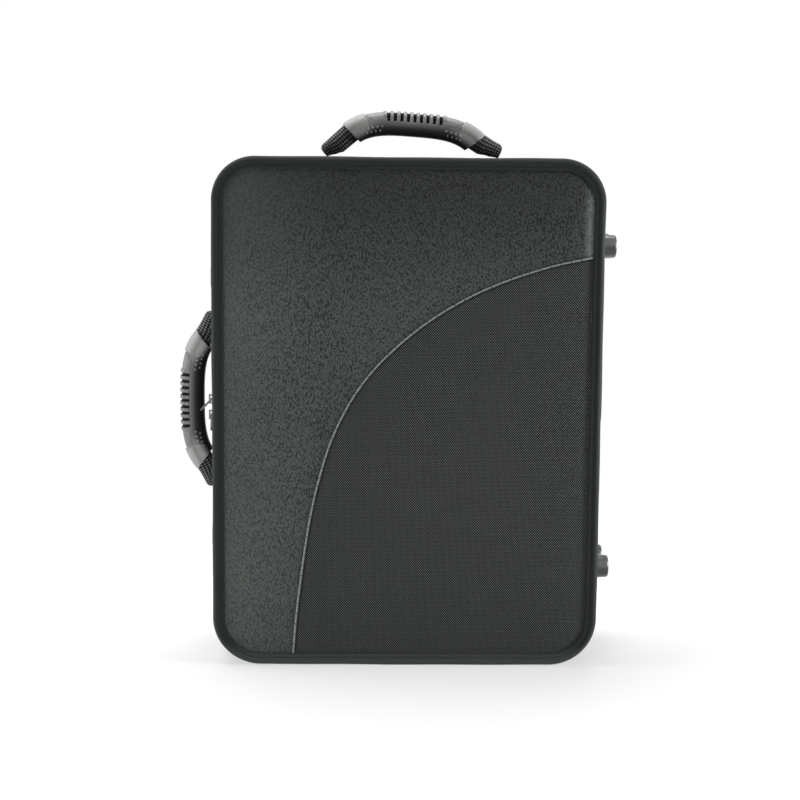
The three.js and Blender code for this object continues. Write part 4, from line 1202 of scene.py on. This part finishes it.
print("stage: handles")
for place, ends in (("top", ("left", "right")), ("side", ("lower", "upper"))):
    size, body = handles[place], f"{place}_handle"
    rings, along, around = gripShape(size["reach"], size["endLean"])
    grip = tube(askew(rings, size["tilt"]), along=along, around=around)
    addPiece(f"{place}_moulded_grip", [onWall(grip, place)], finishes["rubber"], body,
             [f"{place}_grip"], 35)
    for end, side in zip(ends, (-1, 1)):
        braid = sleeveShape(size["reach"], size["tilt"], side)
        addPiece(f"{place}_braid_{end}", [onWall(braid, place)], finishes["mesh"], body,
                 [f"{place}_sleeve_{end}"], 60)
        x0 = side * handles["rootSpan"]
        low, high = handles["seat"], handles["seat"] + handles["anchorThick"]
        patch = roundedPlate(handles["anchorLength"], handles["anchorWidth"], low, high, handles["anchorCorner"])
        addPiece(f"{place}_patch_{end}", [onWall(moved(patch, (x0, 0, 0)), place)], finishes["webbing"], "base",
                 [f"{place}_anchor_{end}"], 50)
        rivets = [moved(rivetShape(high), (x0 + way * handles["rivetSpread"], 0, 0)) for way in (-1, 1)]
        addPiece(f"{place}_rivets_{end}", [onWall(rivet, place) for rivet in rivets], finishes["metal"],
                 "base")
        addPiece(f"{place}_patch_stitches_{end}", [onWall(moved(patchStitches(high), (x0, 0, 0)), place)],
                 finishes["darkThread"], "base")


# Feet and their screws

feet = dict(
    # the foot's height over the wall, its radius, and the bore and socket of its screw; places are Y and Z
    base=150.3, radius=10, tip=9.2, height=17, depth=4, bore=2.3, socket=4.1,
    places=[(-2.05, 69), (37.0, 69), (-2.05, 331), (37.0, 331)],
    screw=2.0, head=3.8, headAt=13.3, headHigh=2.4, screwTip=-5.5, crossWidth=0.9, crossReach=2.3,
)

footLook = dict(
    # the feet's dark colour, the tone of their dust, and the tone of the painted reflection bands
    dark=shade(14, 15, 15), dustAndPaintedLight=shade(48, 50, 50), band=shade(80, 82, 81),
    # shares of the radius above and below a foot's middle where the painted reflection bands start and end
    upper=(-0.1, 0.3), upperEnd=(0.45, 0.95), lower=(-0.95, -0.4),
    # metres across where the side ends at the tip, and noise scales for each metre
    side=(0.1750, 0.1757), specks=420.0, scuffs=60.0,
)


def glossyRubber(name):
    # turned glossy feet: a little dust, and painted reflections as paler bands above and below the dark middle of
    # each foot's side
    finish = Finish(name, coat=0.6, coatRoughness=0.08, ior=1.5)
    spot = finish.place()
    dustAndPaintedLight = finish.noise(spot, footLook["specks"], 4.0, 0.65)
    scuff = finish.noise(spot, footLook["scuffs"], 2.0)
    x, _, z = finish.parts(spot)
    low, high = feet["places"][0][1] / 1000, feet["places"][-1][1] / 1000
    turn = (z - low - z.ramp(0.2, 0.201) * (high - low)) * (1000 / feet["radius"])
    upper, lower = turn.ramp(*footLook["upper"]) * turn.fall(*footLook["upperEnd"]), turn.fall(*footLook["lower"])
    # painted reflections: the upper band, and the lower one at half strength
    paintedReflections = upper.over(lower * 0.5)
    colour = finish.blend(dustAndPaintedLight.ramp(0.55, 0.8) * 0.5, footLook["dark"], footLook["dustAndPaintedLight"])
    finish.surface(finish.blend(paintedReflections * x.fall(*footLook["side"]) * 0.9, colour, footLook["band"]),
                   0.16 + dustAndPaintedLight.ramp(0.5, 0.8) * 0.3 + scuff * 0.08)
    finish.relief(dustAndPaintedLight, 0.00005, 0.3)
    return finish.material


finishes["gloss"] = glossyRubber("glossyRubber")


def footShape():
    # a turned foot with a hollow for its screw: the profile comes back down inside, so it is a ring
    h, r, tip, floor = feet["height"], feet["radius"], feet["tip"], feet["height"] - feet["depth"]
    rings = turnedRings([
        (feet["bore"], 0.0), (r - 0.4, 0.0), (r, 0.4), (r - 0.02, 2.2), (r - 0.35, 2.5), (r - 0.38, 2.9),
        (r - 0.08, 3.2), (tip + 0.06, h - 2.2), (tip - 0.1, h - 1.2), (tip - 0.6, h - 0.4), (tip - 1.4, h),
        (feet["socket"] + 0.5, h), (feet["socket"], h - 0.5), (feet["socket"], floor), (feet["bore"], floor)], 56)
    return tube(rings.transpose(1, 0, 2), loop=True)


def screwShape():
    # a domed head over a plain shank, with a cross pressed into it that gets shallower outwards
    high, shank = feet["headAt"] + feet["headHigh"], feet["screw"]
    rings = turnedRings([
        (0.6, feet["screwTip"]), (shank, feet["screwTip"] + 1), (shank, feet["headAt"]),
        (feet["head"], feet["headAt"]), (feet["head"], feet["headAt"] + 1.0), (3.4, high - 0.7), (2.8, high - 0.3),
        (2.2, high - 0.1), (1.6, high), (1.0, high), (0.5, high)], 48)
    radius = np.hypot(rings[..., 0], rings[..., 1])
    cross = np.abs(rings[..., :2]).min(-1) < feet["crossWidth"] / 2
    pressed = cross & (radius < feet["crossReach"]) & (rings[..., 2] > feet["headAt"])
    rings[..., 2] += np.where(pressed, -1.0 + radius * 0.25, 0)
    return tube(rings)


def onRightWall(shape, y, z):
    # turns a shape's Z to X and puts it at a place on the right wall
    points = shape[0]
    return (np.stack([points[:, 2] + feet["base"], points[:, 0] + y, points[:, 1] + z], -1), *shape[1:])


print("stage: feet")
for k, place in enumerate(feet["places"]):
    addPiece(f"turned_foot_{k + 1}", [onRightWall(footShape(), *place)], finishes["gloss"], "base",
             [f"foot_{k + 1}"], 30)
    addPiece(f"cross_screw_{k + 1}", [onRightWall(screwShape(), *place)], finishes["metal"], "base",
             [f"foot_screw_{k + 1}"], 30)


# Strap rings and their tabs

rings = dict(
    x=-153.4, y=1, heights=dict(upper=305, lower=95),
    # the wire's bow: half its height, its reach, its corners and its own radius; tilt is in degrees
    half=11, reach=12.5, corner=6, wire=1.5, tilt=6,
    # the tab: its strip and the hole that the bar lies in, and the thread sewn through it
    tabWidth=17, tabThick=1.3, tabLength=22, hole=1.8, foldFrom=0.62,
    stitch=(2.1, 0.6, 0.5), stitchOut=1.75, sideRow=6.6, sideCount=6, sidePitch=3.0, endRows=(4.0, 20.6),
    endCount=5, endPitch=2.8,
)


def ringShape():
    # bent wire: a straight bar on Z and a bow towards -Y, swept by a round section
    bow, side, r = rings["reach"] - rings["corner"], rings["half"] - rings["corner"], rings["corner"]
    # corner centres in Y and Z, radii and the quarter of the turn that each bends through
    bends = [(-r / 2, -side - r / 2, r / 2, 0), (-bow, -side, r, 1), (-bow, side, r, 2),
             (-r / 2, side + r / 2, r / 2, 3)]
    cy, cz, radius, quarter = np.array(bends).T[..., None]
    angle = (quarter + np.arange(15) / 14) * math.pi / 2
    oy, oz = np.cos(angle).ravel()[:, None], -np.sin(angle).ravel()[:, None]
    y, z = (cy + radius * np.cos(angle)).ravel()[:, None], (cz - radius * np.sin(angle)).ravel()[:, None]
    turn = fullTurn(20)[None, :]
    lift, out = rings["wire"] * np.sin(turn), rings["wire"] * np.cos(turn)
    tilt = -math.radians(rings["tilt"])
    x, y, z = lift + 0 * y, y + out * oy, z + out * oz
    loop = [x * math.cos(tilt) - y * math.sin(tilt), x * math.sin(tilt) + y * math.cos(tilt), z]
    return tube(np.stack(loop, -1), loop=True)


def tabShape():
    # a strip folded round the bar and back on itself: a centre line with an even thickness, swept across its width
    hole, thick, wide = rings["hole"], rings["tabThick"], rings["tabWidth"]
    middle = hole + thick / 2
    turn = np.linspace(math.pi * rings["foldFrom"], 2 * math.pi, 26)
    strip = np.stack([np.full(12, middle), np.linspace(1.0, rings["tabLength"], 12)], -1)
    line = np.vstack([np.stack([np.cos(turn) * middle, np.sin(turn) * middle], -1), strip])
    step = directions(line)
    normal = np.stack([step[:, 1], -step[:, 0]], -1) * (thick / 2 - 0.02)
    z = np.array([-1, -0.97, -0.5, 0, 0.5, 0.97, 1]) * wide / 2
    thin = np.array([0.55, 1, 1, 1, 1, 1, 0.55])
    outer, inner = (line[:, None] + normal[:, None] * thin[None, :, None] * way for way in (1, -1))
    deep = np.broadcast_to(z, outer.shape[:2])[..., None]
    loop = np.concatenate([np.concatenate([outer, deep], -1), np.concatenate([inner, deep], -1)[:, ::-1]], 1)
    along = lengthsOf(line)
    around = np.concatenate([z + wide / 2, 1.5 * wide + 1 - z[::-1], [2 * wide + 1]])
    return tube(loop, along=np.append(along, along[-1] + 1), around=around)


def tabStitches():
    # a box of threads on the tab's outer face: two rows along it and two across it
    steps = np.arange(rings["sideCount"]) * rings["sidePitch"] + 4.5
    side, run = np.meshgrid([-rings["sideRow"], rings["sideRow"]], steps)
    across = np.tile((np.arange(rings["endCount"]) - 2) * rings["endPitch"], 2)
    y = np.concatenate([run.ravel(), np.repeat(rings["endRows"], rings["endCount"])])
    z = np.concatenate([side.ravel(), across])
    way = np.repeat([[0.0, 1.0, 0.0], [0.0, 0.0, 1.0]], [side.size, across.size], 0)
    return threads(rings["stitch"], np.stack([y * 0 + rings["stitchOut"], y, z], -1), way, [-1, 0, 0])


print("stage: rings")
for place, z in rings["heights"].items():
    at = (rings["x"], rings["y"], z)
    addPiece(f"bent_ring_{place}", [moved(ringShape(), at)], finishes["brightMetal"], f"{place}_ring",
             [f"ring_{place}"], 60)
    addPiece(f"folded_tab_{place}", [moved(tabShape(), at)], finishes["webbing"], "base",
             [f"ring_tab_{place}"], 50)
    addPiece(f"tab_stitches_{place}", [moved(tabStitches(), at)], finishes["darkThread"], "base")


# Zip sliders, pulls and boards keep their CAD shapes and get a finish

def dress(name, finish):
    for obj in bpy.context.scene.objects:
        if obj.type == "MESH" and obj.name.split(".")[0] == name:
            for slot in obj.material_slots:
                slot.material = finish


for place in ("upper", "lower"):
    dress(f"zip_slider_{place}", finishes["metal"])
    dress(f"zip_pull_{place}", finishes["brightMetal"])
for name in ("base_shell", "base_back_board", "lid_shell", "lid_board"):
    dress(name, finishes["board"])


# Inside: foam covered in plush

inside = dict(
    # X and Z of the four walls, Y of the dividers' front edges, of the two floors and of the back
    left=-139.9, right=139.9, low=12.1, high=387.9, front=-17, jointBed=26, bellBed=46.8, back=48.8,
    # the cross wall's Z, the lanes' widths from the left, the bells' compartments and the barrel stops' Z
    wall=(297.9, 304.9), laneHigh=297.6, divider=8, lanes=[44, 38, 37.9, 37.9, 38, 44], bell=107.9,
    stopLanes=(2, 3), stops=(180.1, 188.1), gap=0.3, round=2.6, swell=0.5, filled=0.9, bedEdge=0.8,
)


def softBlock(x0, x1, y0, y1, z0, z1, steps=26):
    # a rounded box whose longest side is its axis: rounded rectangles that shrink at both ends, with faces
    # that swell a little in the middle
    size = np.array([x1 - x0, y1 - y0, z1 - z0]) / 2
    middle = np.array([x0 + x1, y0 + y1, z0 + z1]) / 2
    soft, swell = min(inside["round"], size.min() * 0.8), inside["swell"]
    a, b, c = np.argsort(size)
    rim, caps, level = size[c] - soft, np.linspace(0, math.pi / 2, 7), np.linspace(-1, 1, steps)
    along = np.concatenate([-rim - soft * np.cos(caps)[:-1], level * rim, rim + soft * np.sin(caps)[1:]])
    draw = np.concatenate([soft * (1 - np.sin(caps))[:-1], level * 0, soft * (1 - np.cos(caps))[1:]])[:, None]
    angle = fullTurn(4 * steps, 0.5)
    px, py = (np.sign(d) * np.abs(d) ** 0.22 for d in (np.cos(angle), np.sin(angle)))
    bulge = swell * np.cos(np.clip(along / size[c], -1, 1) * math.pi / 2)[:, None] ** 0.7
    block = np.zeros((len(along), len(angle), 3))
    block[..., a] = px * (size[a] - draw - swell + bulge * (1 - np.abs(py) ** 6))
    block[..., b] = py * (size[b] - draw - swell + bulge * (1 - np.abs(px) ** 6))
    block[..., c] = along[:, None]
    return tube(block + middle)


def bedShape(y0, low, high, rows=60, columns=90):
    # a floor that fills the lining's outline between two heights, hollowed a little beside its walls
    z = np.linspace(low, high, rows)
    radius = np.where(z > middleHigh, topCorner, footCorner) - inside["low"]
    edge = np.where(z > middleHigh, inside["high"] - z, z - inside["low"])
    cut = radius - np.sqrt(np.maximum(radius ** 2 - np.maximum(radius - edge, 0) ** 2, 0))
    half = (inside["right"] - cut)[:, None]
    v = np.linspace(-1, 1, columns)
    gx, gz = half * v, z[:, None] + 0 * v
    rim = np.minimum(np.minimum(half * (1 - np.abs(v)), gz - low), high - gz)
    return closedSheet(gx, gz, y0 + inside["bedEdge"] * np.exp(-rim / 2.0), inside["back"])


def plushPiece(name, shape, node, body="base"):
    addPiece(name, [shape], finishes["plush"], body, [node], 60)


print("stage: compartments")
gap, front, divider = inside["gap"], inside["front"], inside["divider"]
wallLow, wallHigh = inside["wall"]
x = inside["left"]
for k, width in enumerate(inside["lanes"][:-1]):
    left, bed = x + width, inside["jointBed"] - gap
    block = softBlock(left, left + divider, front, bed, inside["low"], inside["laneHigh"])
    plushPiece(f"plush_divider_{k + 1}", block, f"lane_divider_{k + 1}")
    if k in inside["stopLanes"]:
        block = softBlock(x + gap, left - gap, front, bed, *inside["stops"])
        plushPiece(f"plush_stop_{k - 1}", block, f"barrel_stop_{k - 1}")
    x = left + divider
for number in (1, 2):
    left = inside["left"] + number * inside["bell"] + (number - 1) * divider
    block = softBlock(left, left + divider, front, inside["bellBed"] - gap, wallHigh + gap, inside["high"])
    plushPiece(f"plush_bell_divider_{number}", block, f"bell_divider_{number}")
block = softBlock(inside["left"], inside["right"], front, inside["back"], wallLow, wallHigh)
plushPiece("plush_cross_wall", block, "cross_wall")
plushPiece("plush_joint_bed", bedShape(inside["jointBed"], inside["low"] + 0.4, inside["laneHigh"]), "joint_bed")
plushPiece("plush_bell_bed", bedShape(inside["bellBed"], wallHigh + gap, inside["high"] - 0.4), "bell_bed")


# Linings and the document pocket

linings = dict(
    # insets of the outer and inner faces and of the lid's floor; Y of the base's edge and back, and of the
    # lid's back, floor and edge
    outer=7.8, inner=11.8, floorIn=14.0, base=(-20.4, 48.8), lid=(-47.6, -39.6, -21.6),
    quilt=50, puff=1.6, filled=0.8,
)


def baseLining():
    # a padded ring: its front edge is rolled over and its inner face swells towards the middle
    y0, y1 = linings["base"]
    outer, inner = linings["outer"], linings["inner"]
    steps = np.linspace(0.06, 0.97, 14)
    face = [(inner - 0.5 + 0.5 * math.sin(t * math.pi) ** 0.5, y0 + (y1 - y0) * t) for t in steps]
    section = [(outer, y1), (outer, y0 + 1.2), (outer + 0.7, y0 + 0.25), (outer + 2.0, y0),
               (inner - 1.2, y0 + 0.4), *face, (inner - 0.3, y1)]
    return rimSweep(section, stations(5.0, 2.4))


def lidLining():
    # a padded tray: walls with a rolled edge, and a floor quilted by shallow sewn channels
    y0, y1, edgeY = linings["lid"]
    outer, inner, floorIn = (linings[k] for k in ("outer", "inner", "floorIn"))
    s = stations(4.0, 2.4)
    walls = np.array([
        (outer, y0), (outer, edgeY - 1.2), (outer + 0.6, edgeY - 0.25), (outer + 2.0, edgeY),
        (inner - 0.6, edgeY - 0.4), (inner, edgeY - 1.6), (inner + 0.1, edgeY - 6), (inner + 0.1, y1 + 4),
        (inner + 0.8, y1 + 1.4), (floorIn, y1 + 0.3)])
    x, z, _, _ = rimAt(s[None, :], walls[:, :1])
    side = np.stack([x, walls[:, 1:] + 0 * x, z], -1)
    share = (np.linspace(0, 1, 90)[1:, None]) ** 1.1
    x, z, _, _ = rimAt(s, floorIn)
    gx = x * (1 - share)
    gz = z * (1 - share) + (middleHigh + np.clip(z - middleHigh, -50, 50)) * share
    half = linings["quilt"] / 2
    channel = np.minimum(*(np.abs(np.mod(line + half, 2 * half) - half) for line in (gx + gz, gx - gz)))
    edge = np.maximum(depthInside(gx, gz) - floorIn, 0)
    puff = linings["puff"] * (1 - np.exp(-channel / 5)) * (1 - np.exp(-edge / 9))
    floor = np.stack([gx, y1 - 1.3 + puff + 1.3 * np.exp(-edge / 2.5), gz], -1)
    under = np.stack([x * 0.5, x * 0 + y0, middleHigh + (z - middleHigh) * 0.5], -1)
    return tube(np.concatenate([under[None], side, floor]))


pocket = dict(
    width=190, low=75, high=325, back=-39.2, front=-33.1, thick=0.6, sag=0.6, corner=9, tapeSteps=30,
    # the edge tape's section: across the edge, and out of the lining
    tape=[(-4.2, 0.05), (-4.0, 0.9), (-2.0, 1.25), (0.5, 1.3), (1.2, 0.8), (1.3, 0.05)],
)


def pocketShape():
    # a flat pouch: an outer sheet sewn down at its sides and foot, open at its upper edge, with a hollow behind
    x, z = np.linspace(-1, 1, 70), np.linspace(0, 1, 80)[:, None]
    half, tall = pocket["width"] / 2, pocket["high"] - pocket["low"]
    belly = 1 - np.exp(-np.minimum((1 - np.abs(x)) * half, z * tall) / 7)
    sag = pocket["sag"] * np.sin(z * math.pi * 0.9) * np.cos(x * math.pi / 2)
    front = pocket["back"] + 0.8 + (pocket["front"] - pocket["back"] - 1.4) * belly + sag * belly
    back = front - pocket["thick"] * belly - 0.15
    return closedSheet(half * x + 0 * z, pocket["low"] + z * tall + 0 * x, front, back)


def pocketTrim():
    # a folded tape along three sides and over the open upper edge
    half, low, high, corner = pocket["width"] / 2, pocket["low"], pocket["high"], pocket["corner"]
    turn = np.linspace(0, math.pi / 2, 8)
    foot = np.stack([half - corner + corner * np.sin(turn), low + corner - corner * np.cos(turn)], -1)
    left, right, clear, steps = [-half, high], [half, high], corner + 4, pocket["tapeSteps"]
    line = np.vstack([
        [left], np.linspace([-half, high - 4], [-half, low + clear], steps), foot[::-1] * [-1, 1],
        np.linspace([-half + clear, low], [half - clear, low], steps), foot,
        np.linspace([half, low + clear], [half, high - 4], steps), [right]])
    step = directions(line)
    section = np.array(pocket["tape"])
    loop = np.stack([line[:, :1] + step[:, 1:] * section[:, 0], pocket["back"] + section[:, 1] + 0 * line[:, :1],
                     line[:, 1:] - step[:, :1] * section[:, 0]], -1)
    along = lengthsOf(line)
    return tube(loop, along=np.append(along, along[-1] + 1), around=closedLengths(section))


print("stage: linings and pocket")
plushPiece("padded_base_lining", baseLining(), "base_lining", "base")
plushPiece("quilted_lid_lining", lidLining(), "lid_lining", "lid")
pouch = addPiece("pocket_face", [pocketShape()], finishes["wallNylon"], "lid", ["document_pocket"], 60)
trim = addPiece("pocket_trim", [pocketTrim()], finishes["binding"], "lid")


# Floor, background, light and camera

print("stage: studio")
studio = dict(
    floorHalf=30.0, paper=(shade(236, 237, 236), shade(232, 233, 233)), white=(1, 1, 1, 1),
    # metres from the case where the floor turns to plain white, how much white it has near the case, and the
    # strength of the light from all round
    fadeFrom=0.25, fadeTo=0.9, keep=0.5, ambient=0.12,
)


def shownRays(nodes):
    # 1 for the rays that show the background, straight, mirrored or through; 0 for those that light the case
    paths = nodes.node("ShaderNodeLightPath").socket.node.outputs
    seen = Wire(paths["Is Camera Ray"]).over(Wire(paths["Is Glossy Ray"]))
    return seen.over(Wire(paths["Is Transmission Ray"]))


def paleFloor():
    # a wide square at Z 0 whose paper tone fades to white with the distance from the case
    mesh = bpy.data.meshes.new("floor")
    h = studio["floorHalf"]
    mesh.from_pydata([(-h, -h, 0), (h, -h, 0), (h, h, 0), (-h, h, 0)], [], [(0, 1, 2, 3)])
    floor = bpy.data.objects.new("floor", mesh)
    bpy.context.scene.collection.objects.link(floor)
    finish = Finish("paleFloor", roughness=0.9, specular=0.1)
    x, y, _ = finish.parts(finish.place())
    fade = ((x * x + y * y) ** 0.5).ramp(studio["fadeFrom"], studio["fadeTo"])
    grain = finish.noise(finish.place(), 30.0, 2.0)
    finish.put(finish.shader, {"Base Color": finish.blend(grain, *studio["paper"])})
    glow = finish.node("ShaderNodeEmission", (), {"Color": studio["white"], "Strength": 1.0})
    share = shownRays(finish) * (studio["keep"] + (1 - studio["keep"]) * fade)
    mixed = finish.node("ShaderNodeMixShader", (), {0: share, 1: Wire(finish.shader.outputs[0]), 2: glow})
    finish.put(finish.tree.nodes["Material Output"], {"Surface": mixed})
    mesh.materials.append(finish.material)


def whiteWorld():
    # white behind the case, and a weak even light on it
    world = bpy.data.worlds.new("studio")
    bpy.context.scene.world = world
    world.use_nodes = True
    world.node_tree.nodes.clear()
    nodes = Nodes(world.node_tree)
    soft, full = (nodes.node("ShaderNodeBackground", (), {"Color": studio["white"], "Strength": strength})
                  for strength in (studio["ambient"], 1.0))
    mixed = nodes.node("ShaderNodeMixShader", (), {0: shownRays(nodes), 1: soft, 2: full})
    nodes.put(nodes.tree.nodes.new("ShaderNodeOutputWorld"), {"Surface": mixed})


softboxes = dict(
    # place and aim in metres, size across and up, power, and whether the glossy pieces mirror it
    overheadSoftbox=((-0.2, 0.35, 1.6), (0, 0, 0.3), (1.4, 0.9), 32, True),
    leftSoftbox=((-0.48, -1.15, 0.1), (-0.1, 0, 0.14), (0.3, 0.5), 6.0, True),
    sideSoftbox=((-1.6, 0.1, 0.7), (0, 0, 0.25), (0.8, 1.0), 16, True),
    rightSoftbox=((1.1, -0.3, 0.42), (0, 0, 0.33), (0.4, 0.7), 13, True),
    lowSoftbox=((0.0, -0.9, 0.05), (0, 0, 0.02), (1.2, 0.08), 3, False),
)


def softbox(name, place, aim, size, power, mirrored):
    lamp = bpy.data.lights.new(name, "AREA")
    lamp.shape = "RECTANGLE"
    lamp.size, lamp.size_y = size
    lamp.energy = power
    box = bpy.data.objects.new(name, lamp)
    bpy.context.scene.collection.objects.link(box)
    box.location = place
    box.rotation_euler = (Vector(aim) - Vector(place)).to_track_quat("-Z", "Y").to_euler()
    box.visible_glossy = mirrored


paleFloor()
whiteWorld()
for name, values in softboxes.items():
    softbox(name, *values)

view = dict(
    # place in metres, angles in degrees, and the focal length in pixels of a picture this wide
    at=(-0.0202, -1.3382, 0.3864), down=7.7, turn=-1.05, roll=0.5, focal=1664, pictureWidth=800, sensor=36,
)


def setCamera():
    # the view direction follows from the three angles
    down, turn, roll = (math.radians(view[k]) for k in ("down", "turn", "roll"))
    right = Vector((math.cos(turn), math.sin(turn), 0))
    ahead = Vector((-math.sin(turn), math.cos(turn), 0))
    forward = ahead * math.cos(down) - Vector((0, 0, math.sin(down)))
    up = ahead * math.sin(down) + Vector((0, 0, math.cos(down)))
    right, up = right * math.cos(roll) + up * math.sin(roll), up * math.cos(roll) - right * math.sin(roll)
    data = bpy.data.cameras.new("camera")
    data.sensor_width = view["sensor"]
    data.lens = view["focal"] / view["pictureWidth"] * view["sensor"]
    data.clip_start, data.clip_end = 0.01, 100
    camera = bpy.data.objects.new("camera", data)
    bpy.context.scene.collection.objects.link(camera)
    turnMatrix = Matrix((right, up, -forward)).transposed().to_4x4()
    camera.matrix_world = Matrix.Translation(Vector(view["at"])) @ turnMatrix
    bpy.context.scene.camera = camera


setCamera()
bpy.context.scene.view_settings.view_transform = "Standard"
